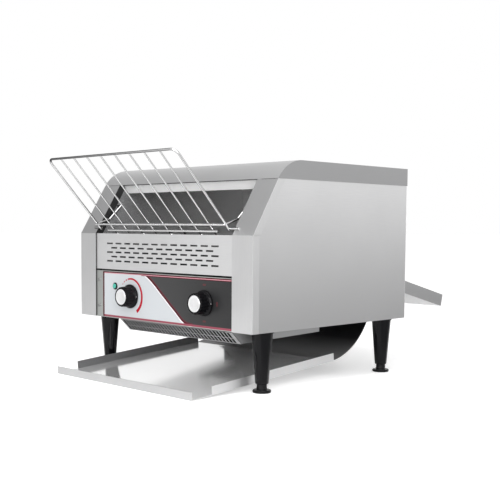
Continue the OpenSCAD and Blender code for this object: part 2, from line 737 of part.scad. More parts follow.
// A control's threaded bushing, nut and bore; the body behind the panel is the child
module control(x) difference() {
    union() {
        translate([x, panel_back, knob_z]) children();
        rod_y(recess - overlay_t - nut_t - 1, panel_back + eps, x, knob_z, bushing_r);
        translate([x, recess - overlay_t, knob_z]) rotate([90, 0, 0]) cylinder(h = nut_t, r = nut_r,
            $fn = 6);
    }
    rod_y(-10, panel_back + control_t - 3, x, knob_z, spindle_r + run_fit);
}
module spindle(x) rod_y(spindle_tip, panel_back + control_t - 3 - gap, x, knob_z, spindle_r);
module speed_regulator() color("steelblue") home() control(speed_x)
    rotate([-90, 0, 0]) {
        cylinder(h = control_t, r = 15);
        for (x = [-6, 0, 6]) translate([x - 1, -20, 4]) cube([2, 8, 1.5]);
    }
module selector_switch() color("ivory") home() control(select_x)
    rotate([-90, 0, 0]) {
        translate([-20, -20, 0]) cube([40, 40, control_t]);
        for (x = [-12, 0, 12], y = [-1, 1]) translate([x - 3, y * 12 - 0.4, control_t - eps])
            cube([6, 0.8, 8]);
    }
module speed_spindle() color("silver") home() spindle(speed_x);
module selector_spindle() color("silver") home() spindle(select_x);

skirt_t = 5;
module knob(x) translate([x, knob_back, knob_z]) rotate([90, 0, 0]) difference() {
    rotate_extrude() polygon([[0, 0], [skirt_d / 2, 0], [skirt_d / 2, skirt_t - 2],
        [skirt_d / 2 - 2, skirt_t], [grip_d / 2 + 1, skirt_t + 0.8], [grip_d / 2, knob_h - 1.2],
        [grip_d / 2 - 1.2, knob_h], [0, knob_h]]);
    translate([0, 0, -1]) cylinder(h = nut_t + 3, r = nut_r + 1.5);
    translate([0, 0, -1]) cylinder(h = knob_h - 5, r = spindle_r);
    translate([0, 0, knob_h - 1]) cylinder(h = 2, r = cap_d / 2);
    for (a = [0 : 20 : 340]) rotate(a) translate([grip_d / 2 + 1.4, 0, skirt_t + 1.5])
        cylinder(h = knob_h, r = 1.6);
}
module knob_cap(x) translate([x, knob_front + 1, knob_z]) rotate([90, 0, 0])
    rotate_extrude() polygon([[0, 0], [cap_d / 2, 0], [cap_d / 2, 1.1], [cap_d / 2 - 0.6, 1.6],
        [0, 1.6]]);
module speed_knob() color("black") home() knob(speed_x);
module selector_knob() color("black") home() knob(select_x);
module speed_knob_cap() color("gainsboro") home() knob_cap(speed_x);
module selector_knob_cap() color("gainsboro") home() knob_cap(select_x);

lamp_stem_r = 5;
lens_r = 4.6;
module lamp_body() color("black") home() translate([lamp_x, recess - overlay_t, lamp_z])
    rotate([90, 0, 0]) difference() {
        union() {
            rotate_extrude() polygon([[0, 0], [6.7, 0], [6.5, 1], [5.6, 1.8], [0, 1.8]]);
            translate([0, 0, -22]) cylinder(h = 22 + eps, r = lamp_stem_r);
        }
        translate([0, 0, -8]) cylinder(h = 12, r = lens_r);
    }
module lamp_lens() color("teal") home() translate([lamp_x, recess - overlay_t, lamp_z])
    rotate([90, 0, 0]) rotate_extrude() difference() {
        union() {
            translate([0, -8]) square([lens_r, 9.8]);
            translate([0, 1.8]) scale([1, 0.5]) circle(r = lens_r);
        }
        translate([-10, -20]) square([10, 40]);
    }

module thermostat() color("ivory") home() {
    rod_x(wall_out, wall_out + 8, 210, upper_z - 34, 11);
    rod_x(wall_out + 8 - eps, wall_out + 11, 210, upper_z - 34, 6);
    for (y = [-5, 5]) block([wall_out + 8, 209.5 + y, upper_z - 37],
        [wall_out + 16, 210.5 + y, upper_z - 31]);
}
module terminal_block() color("ivory") home() difference() {
    block([wall_out, 290, 130], [wall_out + 14, 340, 152]);
    for (i = [0 : 4]) translate([wall_out + 8, 295 + i * 10, 120]) rod_x(0, 8, 0, 21, 3);
}

gland_x = inside_x - 22.5;
gland_z = belly_h + 30;
gland_r = 8;
gland_bore_r = 4.25;
module cord_gland() color("black") home() difference() {
    union() {
        rod_y(rear_in - 10, body_d + 12, gland_x, gland_z, gland_r);
        rod_y(rear_in - 6, rear_in, gland_x, gland_z, 11);
        rod_y(body_d - sheet, body_d + 4, gland_x, gland_z, 11);
        translate([gland_x, body_d + 4 - eps, gland_z]) rotate([-90, 0, 0])
            cylinder(h = 7, r1 = 10.5, r2 = 9);
    }
    rod_y(rear_in - 11, body_d + 13, gland_x, gland_z, gland_bore_r);
}

// ---- Feed rack ----

module in_rack_plane() translate([0, rack_y, rack_z]) rotate([180 - rack_angle, 0, 0]) children();
// Two wires side by side, joined at their lower ends by a bar across with bent corners
module wire_pair(x) {
    h = rack_pitch / 2;
    for (s = [-1, 1]) {
        bar([x + s * h, tail + tail_bend, 0], [x + s * h, rack_reach, 0], wire_r);
        bar([x + s * h, tail + tail_bend, 0], [x + s * (h - tail_bend), tail, 0], wire_r);
        for (p = [[h, tail_bend], [h - tail_bend, 0]]) translate([x + s * p[0], tail + p[1], 0])
            sphere(r = wire_r + 0.1);
    }
    bar([x - h + tail_bend, tail, 0], [x + h - tail_bend, tail, 0], wire_r);
}
module feed_rack() color("silver") home() {
    $fn = 24;
    bar_c = [rack_y - weld * sin(rack_angle), rack_z - weld * cos(rack_angle)];
    mid_c = bar_c + [31.5, 10];
    in_rack_plane() {
        for (i = [0 : rack_wires / 2 - 1])
            wire_pair((i - (rack_wires / 2 - 1) / 2) * 2 * rack_pitch);
        for (s = [0, 1]) mirror([s, 0, 0]) {
            bar([rack_half, -14, 0], [rack_half, rack_reach - rack_bend, 0], frame_r);
            translate([rack_half - rack_bend, rack_reach - rack_bend, 0])
                rotate_extrude(angle = 90) translate([rack_bend, 0]) circle(r = frame_r);
        }
        bar([-rack_half + rack_bend, rack_reach, 0], [rack_half - rack_bend, rack_reach, 0],
            frame_r);
        bar([-rack_half, 0, weld], [rack_half, 0, weld], frame_r);
        bar([-rack_half + rack_pitch - 14, bar_low, weld],
            [rack_half - rack_pitch + 14, bar_low, weld], frame_r);
    }
    for (s = [-1, 1]) on_side(s) {
        bar([rack_half, bar_c[0], bar_c[1]], [rack_half, mid_c[0], mid_c[1]], frame_r);
        bar([rack_half, mid_c[0], mid_c[1]], [rack_half, hook_y, hook_z], frame_r);
        rod_x(rack_half, hook_x, hook_y, hook_z, frame_r);
        rod_x(rack_half - 1, peg_end, peg_y, peg_z, frame_r);
        for (p = [bar_c, mid_c, [hook_y, hook_z]]) translate([rack_half, p[0], p[1]])
            sphere(r = frame_r + 0.2);
    }
}

// ---- Toast tray, slide and chute ----

function slide_point(a) = [slide_y + slide_r * sin(a), slide_z - slide_r * cos(a)];
slide_top = outlet_z + 0.2;
slide_out = slide_point(slide_end);
slide_lip_gap = 7;                      // from the slide's lip to the rear panel
slide_lip_y = slide_out[0] + (slide_top - slide_out[1]) / tan(slide_end);
tray_back = slide_point(tray_angle);
tray_t = 1.2;
module tray_floor() {
    // Lip, floor, round slide, straight tail and the lip that lies on the rear panel's ledge
    polygon(band([[-tray_out, tray_z + lip_h], [-tray_out, tray_z], tray_back], tray_t));
    intersection() {
        difference() {
            translate([slide_y, slide_z]) circle(r = slide_r, $fn = 180);
            translate([slide_y, slide_z]) circle(r = slide_r - tray_t, $fn = 180);
        }
        translate([slide_y, slide_z]) polygon([[0, 0], 2 * slide_r * [sin(tray_angle),
            -cos(tray_angle)], 2 * slide_r * [sin((tray_angle + slide_end) / 2),
            -cos((tray_angle + slide_end) / 2)], 2 * slide_r * [sin(slide_end), -cos(slide_end)]]);
    }
    polygon(band([slide_out, [slide_lip_y, slide_top], [rear_in - slide_lip_gap, slide_top]],
        tray_t));
}
module toast_tray() color("whitesmoke") home() {
    along_x(-tray_half, tray_half) tray_floor();
    start = [-tray_wall_front, tray_z + (tray_out - tray_wall_front) * tan(tray_angle)];
    run = norm(tray_back - start);
    seat = 0.8 * tray_t;                // the walls' rear ends stand on the slide's own sheet
    for (s = [-1, 1]) on_side(s) along_x(tray_half - tray_t, tray_half)
        translate(start) rotate(tray_angle) polygon([[0, 0], [run - 2, 0], [run - 2, seat],
            [run + tray_wall_rear, seat], [run + tray_wall_rear, tray_wall],
            [0, tray_wall]]);
}

// The chute lies on two ledges and slides along its own slope
module chute_frame() translate([0, rear_in, chute_z]) rotate([-chute_angle, 0, 0]) children();
chute_in = (rear_in - chute_in_y) / cos(chute_angle);
chute_end = (body_d + chute_out - rear_in) / cos(chute_angle);
module rear_chute() color("silver") home() chute_frame() {
    block([-chute_half, -chute_in, 0], [chute_half, chute_end, sheet]);
    for (s = [-1, 1]) on_side(s)
        block([chute_half - sheet, -chute_in, 0], [chute_half, chute_end, chute_wall]);
}
rail_len = drop_gap + 8;
module chute_rails() color("silver") home() for (s = [-1, 1]) on_side(s) chute_frame()
    block([wall_in - 8, -rail_len, -0.2 - sheet], [wall_in, -1, -0.2]);

// ---- Legs ----

function leg_places() = [for (s = [-1, 1], y = [leg_front, body_d - leg_rear]) [s * leg_x, y]];
module legs() color("#202020") home() for (p = leg_places()) translate([p[0], p[1], 0])
    difference() {
        union() {
            translate([0, 0, belly_h - leg_flange_t]) cylinder(h = leg_flange_t,
                r = leg_flange_d / 2);
            translate([0, 0, leg_low_z]) cylinder(h = belly_h - leg_flange_t - leg_low_z,
                r1 = leg_low_d / 2, r2 = leg_top_d / 2);
        }
        translate([0, 0, leg_low_z - 1]) cylinder(h = stud_top - leg_low_z + 2,
            r = stud_r + run_fit);
        translate([0, 0, belly_h - bolt_in]) cylinder(h = bolt_in + 1, r = bolt_r);
    }
module leg_bolts() color("silver") home() for (p = leg_places())
    translate([p[0], p[1], floor_top]) {
        cylinder(h = 5.3, r = 7.5, $fn = 6);
        translate([0, 0, -bolt_in]) cylinder(h = bolt_in + eps, r = bolt_r);
    }
module foot(i) color("#202020") home() translate([leg_places()[i][0], leg_places()[i][1], 0]) {
    rotate_extrude() polygon([[0, 0], [pad_d / 2 - 1, 0], [pad_d / 2, 1], [pad_d / 2, pad_h - 1],
        [pad_d / 2 - 1, pad_h], [9, pad_h], [8.5, pad_h + foot_collar], [0, pad_h + foot_collar]]);
    cylinder(h = stud_top, r = stud_r);
}

base_plate();
side_panel(-1);  // side_panel_left
side_panel(1);  // side_panel_right
front_column(-1);  // front_column_left
front_column(1);  // front_column_right
top_cover();
front_hood();
vent_panel();
control_panel();
control_overlay();
panel_screws();
rear_panel();
rear_screws();
inner_wall(-1);  // inner_wall_left
inner_wall(1);  // inner_wall_right
rear_baffle();
heat_shield();
upper_reflector();
lower_reflector();
upper_heaters();
lower_heaters();
heater_insulators();
air_duct();
intake_grille();
fan_housing();
fan_rotor();
gearmotor();
motor_shaft();
motor_sprocket();
drive_chain();
drive_sprocket();
drive_shaft();
drive_rollers();
idler_shaft();
idler_rollers();
shaft_bushes();
conveyor_belt();
speed_regulator();
speed_spindle();
speed_knob();
speed_knob_cap();
selector_switch();
selector_spindle();
selector_knob();
selector_knob_cap();
lamp_body();
lamp_lens();
thermostat();
terminal_block();
cord_gland();
feed_rack();
toast_tray();
chute_rails();
rear_chute();
legs();
leg_bolts();
foot(0);  // foot_front_left
foot(2);  // foot_front_right
foot(1);  // foot_rear_left
foot(3);  // foot_rear_right
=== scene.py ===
# %% [markdown]
# # A conveyor toaster for a cafe counter
# Bread slides down a wire rack onto a moving belt, is toasted between two rows of heater tubes and
# drops onto a tray. The casing is folded satin steel, so most of the work here is in the folds,
# the grain of the steel and a few dark plastic parts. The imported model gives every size.

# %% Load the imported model
import bpy, bmesh, math
from mathutils import Matrix, Vector


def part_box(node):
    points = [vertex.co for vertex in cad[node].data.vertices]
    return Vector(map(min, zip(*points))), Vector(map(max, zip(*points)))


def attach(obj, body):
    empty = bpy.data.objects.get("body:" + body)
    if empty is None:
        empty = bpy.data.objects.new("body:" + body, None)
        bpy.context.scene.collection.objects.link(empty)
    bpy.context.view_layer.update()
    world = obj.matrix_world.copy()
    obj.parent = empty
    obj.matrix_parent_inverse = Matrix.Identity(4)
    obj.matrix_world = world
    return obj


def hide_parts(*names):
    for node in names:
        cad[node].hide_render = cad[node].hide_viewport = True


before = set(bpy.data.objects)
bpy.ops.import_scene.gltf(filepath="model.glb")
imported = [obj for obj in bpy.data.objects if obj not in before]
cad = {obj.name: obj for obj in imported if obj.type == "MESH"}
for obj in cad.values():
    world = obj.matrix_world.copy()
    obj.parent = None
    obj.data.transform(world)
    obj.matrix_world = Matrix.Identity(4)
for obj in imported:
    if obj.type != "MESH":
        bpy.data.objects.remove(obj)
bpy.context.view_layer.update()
scene = bpy.context.scene

# %% [markdown]
# ## The camera
# The camera stands at the right front corner of the counter, a little below the top of the
# casing. A long lens and a small shift keep the upright edges nearly parallel.

# %% Place the camera
camera = bpy.data.objects.new("camera", bpy.data.cameras.new("camera"))
scene.collection.objects.link(camera)
camera_right = Vector((0.704720, 0.709460, 0.006100))
camera_up = Vector((-0.049183, 0.040274, 0.997977))
camera_back = Vector((0.707779, -0.703594, 0.063275))
camera.matrix_world = Matrix.Translation((1.238548, -1.293277, 0.273393)) @ Matrix(
    (camera_right, camera_up, camera_back)).transposed().to_4x4()
camera.data.sensor_width = 36
camera.data.lens = 65.68
camera.data.shift_x, camera.data.shift_y = 0.0277, 0.0697
camera.data.clip_start = 0.01
scene.camera = camera

# %% [markdown]
# ## Working helpers
# Sizes are easiest to read in millimetres from the casing's front face, so one helper turns such a
# place into the frame's metres. The others select by place or by normal, as one would by hand.

# %% Helpers for places and selections
front_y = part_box("front_column_left")[0].y


def at(x, y, z):
    """Millimetres from the middle, the front face and the table, as a point in the frame."""
    return Vector((x / 1000, front_y + y / 1000, z / 1000))


def nothing_selected():
    if bpy.context.object and bpy.context.object.mode != "OBJECT":
        bpy.ops.object.mode_set(mode="OBJECT")
    bpy.ops.object.select_all(action="DESELECT")


def only(obj):
    nothing_selected()
    obj.select_set(True)
    bpy.context.view_layer.objects.active = obj
    return obj


def place_in_mesh(obj, name):
    """Moves the object's place into its mesh and names it."""
    only(obj)
    bpy.ops.object.transform_apply(location=True, rotation=True, scale=True)
    obj.name = obj.data.name = name
    return obj


def select_faces(obj, test):
    """Selects the faces whose centre and normal pass the test, in edit mode."""
    only(obj)
    bpy.ops.object.mode_set(mode="EDIT")
    bpy.ops.mesh.select_mode(type="FACE")
    bpy.ops.mesh.select_all(action="DESELECT")
    mesh = bmesh.from_edit_mesh(obj.data)
    for face in mesh.faces:
        face.select_set(bool(test(face.calc_center_median(), face.normal)))
    mesh.select_flush_mode()
    bmesh.update_edit_mesh(obj.data)


def select_edges(obj, test):
    """Selects the edges whose two ends pass the test, in edit mode."""
    only(obj)
    bpy.ops.object.mode_set(mode="EDIT")
    bpy.ops.mesh.select_mode(type="EDGE")
    bpy.ops.mesh.select_all(action="DESELECT")
    mesh = bmesh.from_edit_mesh(obj.data)
    for edge in mesh.edges:
        edge.select_set(bool(test(edge.verts[0].co, edge.verts[1].co)))
    bmesh.update_edit_mesh(obj.data)


def join(pieces, name):
    """Joins the pieces into the first of them."""
    nothing_selected()
    for piece in pieces:
        piece.select_set(True)
    bpy.context.view_layer.objects.active = pieces[0]
    bpy.ops.object.join()
    pieces[0].name = pieces[0].data.name = name
    return pieces[0]


def done(obj, body, material, replaces=(), smooth=30):
    """Smooth shading, a finish, the body it moves with and the nodes it stands for."""
    only(obj)
    bpy.ops.object.shade_smooth_by_angle(angle=math.radians(smooth))
    obj.data.materials.clear()
    obj.data.materials.append(material)
    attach(obj, body)
    if replaces:
        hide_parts(*replaces)
    return obj


# %% [markdown]
# ## Finishes
# Each finish is a Principled shader fed by a few small node groups: a grain drawn out along the
# rolling direction, a soft cloud of handling marks, and fine specks. The groups are built once,
# and every material sets them to its own scale.

# %% Node group helpers
def new_group(name, inputs, output):
    group = bpy.data.node_groups.new(name, "ShaderNodeTree")
    for label, kind, value in inputs:
        socket = group.interface.new_socket(label, in_out="INPUT", socket_type=kind)
        if kind == "NodeSocketFloat":
            socket.default_value = value
    group.interface.new_socket(output, in_out="OUTPUT", socket_type="NodeSocketFloat")
    return group, group.nodes.new("NodeGroupInput"), group.nodes.new("NodeGroupOutput")


def math_node(tree, operation, a, b):
    node = tree.nodes.new("ShaderNodeMath")
    node.operation = operation
    for socket, value in zip(node.inputs, (a, b)):
        if isinstance(value, (int, float)):
            socket.default_value = value
        else:
            tree.links.new(value, socket)
    return node.outputs[0]


# %% Rolled grain in long fine streaks, and handling marks as a soft, slow cloud
def noise_group(name, label, scale, detail, roughness):
    """Noise that swings about zero, times an amount."""
    group, inside, outside = new_group(name, [("Vector", "NodeSocketVector", None),
        (label, "NodeSocketFloat", scale), ("Amount", "NodeSocketFloat", 0.1)], "Change")
    noise = group.nodes.new("ShaderNodeTexNoise")
    noise.inputs["Detail"].default_value = detail
    noise.inputs["Roughness"].default_value = roughness
    group.links.new(inside.outputs["Vector"], noise.inputs["Vector"])
    group.links.new(inside.outputs[label], noise.inputs["Scale"])
    centred = math_node(group, "SUBTRACT", noise.outputs["Fac"], 0.5)
    group.links.new(math_node(group, "MULTIPLY", centred, inside.outputs["Amount"]),
        outside.inputs["Change"])
    return group


grain_group = noise_group("rolled_grain", "Fine", 1400.0, 3, 0.5)
cloud_group = noise_group("handling_marks", "Size", 9.0, 4, 0.62)

# %% Specks: scattered small spots
speck_group, speck_in, speck_out = new_group("specks", [
    ("Vector", "NodeSocketVector", None), ("Density", "NodeSocketFloat", 500.0),
    ("Share", "NodeSocketFloat", 0.3)], "Mask")
spots = speck_group.nodes.new("ShaderNodeTexNoise")
spots.inputs["Detail"].default_value = 2
speck_group.links.new(speck_in.outputs["Vector"], spots.inputs["Vector"])
speck_group.links.new(speck_in.outputs["Density"], spots.inputs["Scale"])
threshold = math_node(speck_group, "SUBTRACT", 0.75, speck_in.outputs["Share"])
over = math_node(speck_group, "SUBTRACT", spots.outputs["Fac"], threshold)
sharpened = math_node(speck_group, "MULTIPLY", over, 14.0)
clipped = speck_group.nodes.new("ShaderNodeClamp")
speck_group.links.new(sharpened, clipped.inputs["Value"])
speck_group.links.new(clipped.outputs[0], speck_out.inputs["Mask"])


# %% One maker for every finish
def finish(name, colour, metallic=0.0, roughness=0.4, stretch=(1, 1, 1), grain=0.0, fine=1400,
           cloud=0.08, size=9, tint=0.06, speck=None, bump=0.0, coat=0.0, specular=0.5,
           fades=(), rim=None):
    """A procedural finish. stretch slows the grain along one axis; speck is (colour, density,
    share); bump is the depth in millimetres of the same grain; a fade is (axis, mm, mm, colour),
    from where the colour starts to change to where the second colour is reached, and paints shade
    or light along that axis; the rim shade is (facing, facing, colour), a painted shade: a dark
    line along both sides of a round wire, where its surface turns away from the view."""
    material = bpy.data.materials.new(name)
    material.use_nodes = True
    tree = material.node_tree
    shader = tree.nodes["Principled BSDF"]
    shader.inputs["Metallic"].default_value = metallic
    shader.inputs["Coat Weight"].default_value = coat
    shader.inputs["Coat Roughness"].default_value = 0.12
    shader.inputs["Specular IOR Level"].default_value = specular
    place = tree.nodes.new("ShaderNodeTexCoord").outputs["Object"]
    mapping = tree.nodes.new("ShaderNodeMapping")
    mapping.inputs["Scale"].default_value = stretch
    tree.links.new(place, mapping.inputs["Vector"])

    def use(group, values, vector):
        node = tree.nodes.new("ShaderNodeGroup")
        node.node_tree = group
        for key, value in values.items():
            node.inputs[key].default_value = value
        tree.links.new(vector, node.inputs["Vector"])
        return node.outputs[0]

    def span(value, low, high):
        """0 up to low, 1 from high on."""
        node = tree.nodes.new("ShaderNodeMapRange")
        node.inputs["From Min"].default_value, node.inputs["From Max"].default_value = low, high
        tree.links.new(value, node.inputs["Value"])
        return node.outputs["Result"]

    def lay_over(under, second, factor):
        node = tree.nodes.new("ShaderNodeMix")
        node.data_type = "RGBA"
        node.inputs["B"].default_value = (*second, 1)
        tree.links.new(factor, node.inputs["Factor"])
        tree.links.new(under, node.inputs["A"])
        return node.outputs["Result"]

    streak = use(grain_group, {"Fine": fine, "Amount": 1.0}, mapping.outputs["Vector"])
    marks = use(cloud_group, {"Size": size, "Amount": 1.0}, place)
    rough = math_node(tree, "ADD", math_node(tree, "MULTIPLY", streak, grain),
        math_node(tree, "MULTIPLY", marks, cloud))
    tree.links.new(math_node(tree, "ADD", rough, roughness), shader.inputs["Roughness"])
    base = tree.nodes.new("ShaderNodeMix")
    base.data_type = "RGBA"
    base.inputs["A"].default_value = (*[c * (1 - tint) for c in colour], 1)
    base.inputs["B"].default_value = (*[min(1, c * (1 + tint)) for c in colour], 1)
    shade = math_node(tree, "ADD", math_node(tree, "MULTIPLY", streak, 0.9), marks)
    tree.links.new(math_node(tree, "ADD", shade, 0.5), base.inputs["Factor"])
    result = base.outputs["Result"]
    if speck:
        second, density, share = speck
        mask = use(speck_group, {"Density": density, "Share": share}, place)
        result = lay_over(result, second, mask)
    # Each fade paints shade or light: the colour changes along an axis
    for letter, start, end, second in fades:
        axis = "XYZ".index(letter)
        parts = tree.nodes.new("ShaderNodeSeparateXYZ")
        tree.links.new(place, parts.inputs[0])
        low, high = (at(mm, mm, mm)[axis] for mm in (start, end))
        result = lay_over(result, second, span(parts.outputs[axis], low, high))
    # Painted shade: a dark line where the surface turns away from the view
    if rim:
        facing = tree.nodes.new("ShaderNodeLayerWeight")
        facing.inputs["Blend"].default_value = 0.5
        result = lay_over(result, rim[2], span(facing.outputs["Facing"], *rim[:2]))
    tree.links.new(result, shader.inputs["Base Color"])
    if bump:
        relief = tree.nodes.new("ShaderNodeBump")
        relief.inputs["Distance"].default_value = bump / 1000
        tree.links.new(streak, relief.inputs["Height"])
        tree.links.new(relief.outputs["Normal"], shader.inputs["Normal"])
    return material


# %% [markdown]
# The steels differ mostly in how they were rolled and polished. Panels keep a satin grain along
# their length and the tray is nearly a mirror. Much of the shade is painted: some faces get darker
# or lighter copies of a steel, the chamber walls and the slide are painted dark, and a fade paints
# shade or light along an axis.

# %% Steels
even, along_x, along_y, along_z = (1, 1, 1), (0.02, 1, 1), (1, 0.02, 1), (1, 1, 0.02)
satin_front = finish("satin_steel_front", (0.86, 0.86, 0.865), 0.92, 0.42, along_x, 0.12)
satin_column = finish("satin_steel_column", (0.82, 0.82, 0.825), 1.0, 0.40, along_z, 0.10)
# Painted shade: the side steel darkens towards the bottom, from 340 mm down to 110 mm
satin_side_shade_painted = finish("satin_steel_side_painted_shade", (0.85, 0.85, 0.855), 1.0, 0.40, along_y, 0.10,
    fades=[("Z", 340, 110, (0.64, 0.64, 0.645))])
strip_steel = finish("satin_steel_strip", (0.58, 0.60, 0.58), 1.0, 0.42, along_x, 0.12)
# Painted shade: the cover is a darker copy of the satin steel
cover_shade_painted = finish("satin_steel_cover", (0.66, 0.66, 0.665), 1.0, 0.38, along_y, 0.12)
mirror_steel = finish("polished_tray_steel", (0.95, 0.95, 0.955), 0.72, 0.11, along_y, 0.03,
    cloud=0.06, size=6, bump=0.0015)
# Painted shade: the slide under the casing is dark steel, nearly black from 32 to 64 mm up
slide_shade_painted = finish("slide_painted_shade", (0.17, 0.17, 0.173), 0.35, 0.36, along_x, 0.08,
    cloud=0.12, specular=0.2, fades=[("Z", 32, 64, (0.012, 0.012, 0.013))])
# Painted shade and light: the chamber walls are dark at the front, lighter towards the rear from
# 120 to 380 mm, and nearly black as they go down from 180 to 120 mm
chamber_shade_painted = finish("chamber_painted_shade", (0.26, 0.26, 0.265), 0.1, 0.5, along_z, 0.1,
    speck=((0.5, 0.5, 0.51), 900, 0.22), tint=0.2, fades=[("Y", 120, 380, (0.95, 0.95, 0.955)),
        ("Z", 180, 120, (0.03, 0.03, 0.031))])
# Painted light: the rear baffle is a nearly white, nearly matt steel, as the chamber is painted
# lighter towards the rear
baffle_light_painted = finish("baffle_painted_light", (0.92, 0.92, 0.925), 0.1, 0.5, along_x, 0.1, tint=0.2)
# Painted shade: a near black for inner faces, slot sides, gaps, wall tops and pieces deep inside,
# where shade falls
painted_shade_dark = finish("painted_shade_fold", (0.05, 0.05, 0.051), 0.6, 0.5, along_z, 0.1)
# Painted shade: the tray lip's front face is a darker copy of the tray steel
lip_shade_painted = finish("lip_painted_shade", (0.70, 0.70, 0.705), 0.9, 0.35, along_x, 0.10)
# Painted light: undersides are a bright matt white instead of steel, in place of light thrown up
# from the floor and tray
underside_light_painted = finish("underside_painted_light", (0.97, 0.97, 0.975), 0.0, 0.5, along_x, 0.10)
# Painted shade: the columns' sloped faces are a darker copy of the column steel
slope_shade_painted = finish("slope_painted_shade", (0.55, 0.55, 0.555), 1.0, 0.42, along_z, 0.10)
# Painted shade: the cover's sides and top are a darker copy still
cover_edge_shade_painted = finish("cover_edge_painted_shade", (0.45, 0.45, 0.455), 1.0, 0.38, along_y, 0.12)
hood_steel = finish("satin_steel_hood", (0.97, 0.97, 0.97), 0.1, 0.45, along_x, 0.10)
grille_steel = finish("satin_steel_grille", (0.58, 0.58, 0.585), 0.92, 0.42, along_x, 0.10)
duct_steel = finish("satin_steel_duct", (0.38, 0.38, 0.385), 0.6, 0.42, along_x, 0.10)
chute_steel = finish("satin_steel_chute", (0.56, 0.56, 0.565), 1.0, 0.36, along_y, 0.10)
zinc = finish("zinc_plate", (0.48, 0.49, 0.5), 1.0, 0.45, even, 0.1, fine=300,
    speck=((0.6, 0.61, 0.62), 260, 0.25))
tool_steel = finish("oiled_tool_steel", (0.3, 0.3, 0.31), 1.0, 0.35, along_x, 0.1)
# Polished wire with a painted shade along both sides, darker where it turns from the view
chrome_wire_painted_rim = finish("chromed_wire", (0.96, 0.96, 0.965), 1.0, 0.17, along_y, 0.03, cloud=0.08,
    rim=(0.30, 0.55, (0.02, 0.02, 0.022)))
chrome_cross_painted_rim = finish("chromed_cross_wire_painted_rim_shade", (0.96, 0.96, 0.965), 1.0, 0.17, along_x, 0.03,
    cloud=0.08, rim=(0.44, 0.64, (0.02, 0.02, 0.022)))
belt_wire = finish("belt_wire", (0.42, 0.40, 0.38), 1.0, 0.34, along_x, 0.08, tint=0.18, size=30)
screw_steel = finish("screw_steel", (0.45, 0.45, 0.45), 1.0, 0.3, even, 0.05, fine=600)
heater_steel = finish("heater_sheath", (0.16, 0.14, 0.13), 0.8, 0.48, even, 0.1, tint=0.25,
    size=40)
bronze = finish("bush_bronze", (0.5, 0.32, 0.13), 1.0, 0.4, along_x, 0.08)
print("steels:", len(bpy.data.materials))

# %% Plastics, ceramic and print
moulded_black = finish("moulded_black", (0.004, 0.004, 0.005), 0.0, 0.14, even, 0.05,
    fine=900, bump=0.01, tint=0.2, specular=0.16)
leg_black = finish("leg_black", (0.004, 0.004, 0.005), 0.0, 0.14, (1, 1, 0.05), 0.06, fine=500,
    bump=0.01, tint=0.2, specular=0.26)
foot_black = finish("foot_black", (0.006, 0.006, 0.007), 0.0, 0.3, even, 0.08, fine=900,
    bump=0.02, specular=0.25)
fan_black = finish("fan_black", (0.03, 0.03, 0.032), 0.0, 0.5, even, 0.08, fine=700)
switch_cream = finish("switch_cream", (0.62, 0.6, 0.54), 0.0, 0.5, even, 0.08, fine=500)
ceramic = finish("ceramic_white", (0.72, 0.69, 0.6), 0.0, 0.6, even, 0.1, fine=400,
    bump=0.03)
motor_grey = finish("motor_enamel", (0.16, 0.17, 0.19), 0.2, 0.4, even, 0.08, fine=300,
    bump=0.02)
cap_bright = finish("turned_cap", (0.96, 0.96, 0.97), 0.6, 0.3, even, 0.05, fine=500)
lens_teal = finish("lens_teal", (0.06, 0.48, 0.37), 0.0, 0.12, even, 0.02, fine=200,
    coat=0.6, tint=0.12)
print_light = finish("print_light", (0.60, 0.625, 0.65), 0.0, 0.42, even, 0.04, fine=1200,
    tint=0.02, coat=0.15)
# Painted light: the dark field is lighter at the left, a painted glare, and darkens towards the
# right from -20 to 180 mm
print_dark_painted_glare = finish("print_dark_painted_glare", (0.044, 0.044, 0.045), 0.0, 0.42, even, 0.05, fine=1200,
    tint=0.08, coat=0.15, fades=[("X", -20, 180, (0.016, 0.016, 0.017))])
print_white = finish("print_white", (0.95, 0.90, 0.91), 0.0, 0.42, even, 0.03, tint=0.02)
print_pink = finish("print_pink", (0.62, 0.28, 0.33), 0.0, 0.42, even, 0.03, tint=0.02)
print_deep_red = finish("print_deep_red", (0.07, 0.001, 0.006), 0.0, 0.42, even, 0.03,
    specular=0.15)
print_mid_red = finish("print_mid_red", (0.32, 0.08, 0.11), 0.0, 0.42, even, 0.03,
    specular=0.15)
print_dull_red = finish("print_dull_red", (0.12, 0.035, 0.045), 0.0, 0.42, even, 0.03,
    specular=0.15)
print_red = finish("print_red", (0.46, 0.001, 0.02), 0.0, 0.4, even, 0.03, tint=0.04,
    specular=0.2)
print_dim_red = finish("print_dim_red", (0.10, 0.022, 0.026), 0.0, 0.42, even, 0.03)
print("materials:", len(bpy.data.materials))

# %% [markdown]
# ## Folded sheets
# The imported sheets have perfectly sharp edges. Real folded steel has a small radius at every bend
# and a broken edge, which catches a thin line of light. Each sheet is copied, its loose triangles
# are merged, and its sharp edges are bevelled. A bevel bends the shading of the wide face beside
# it, so a Weighted Normal modifier gives the wide faces their flat gloss back.


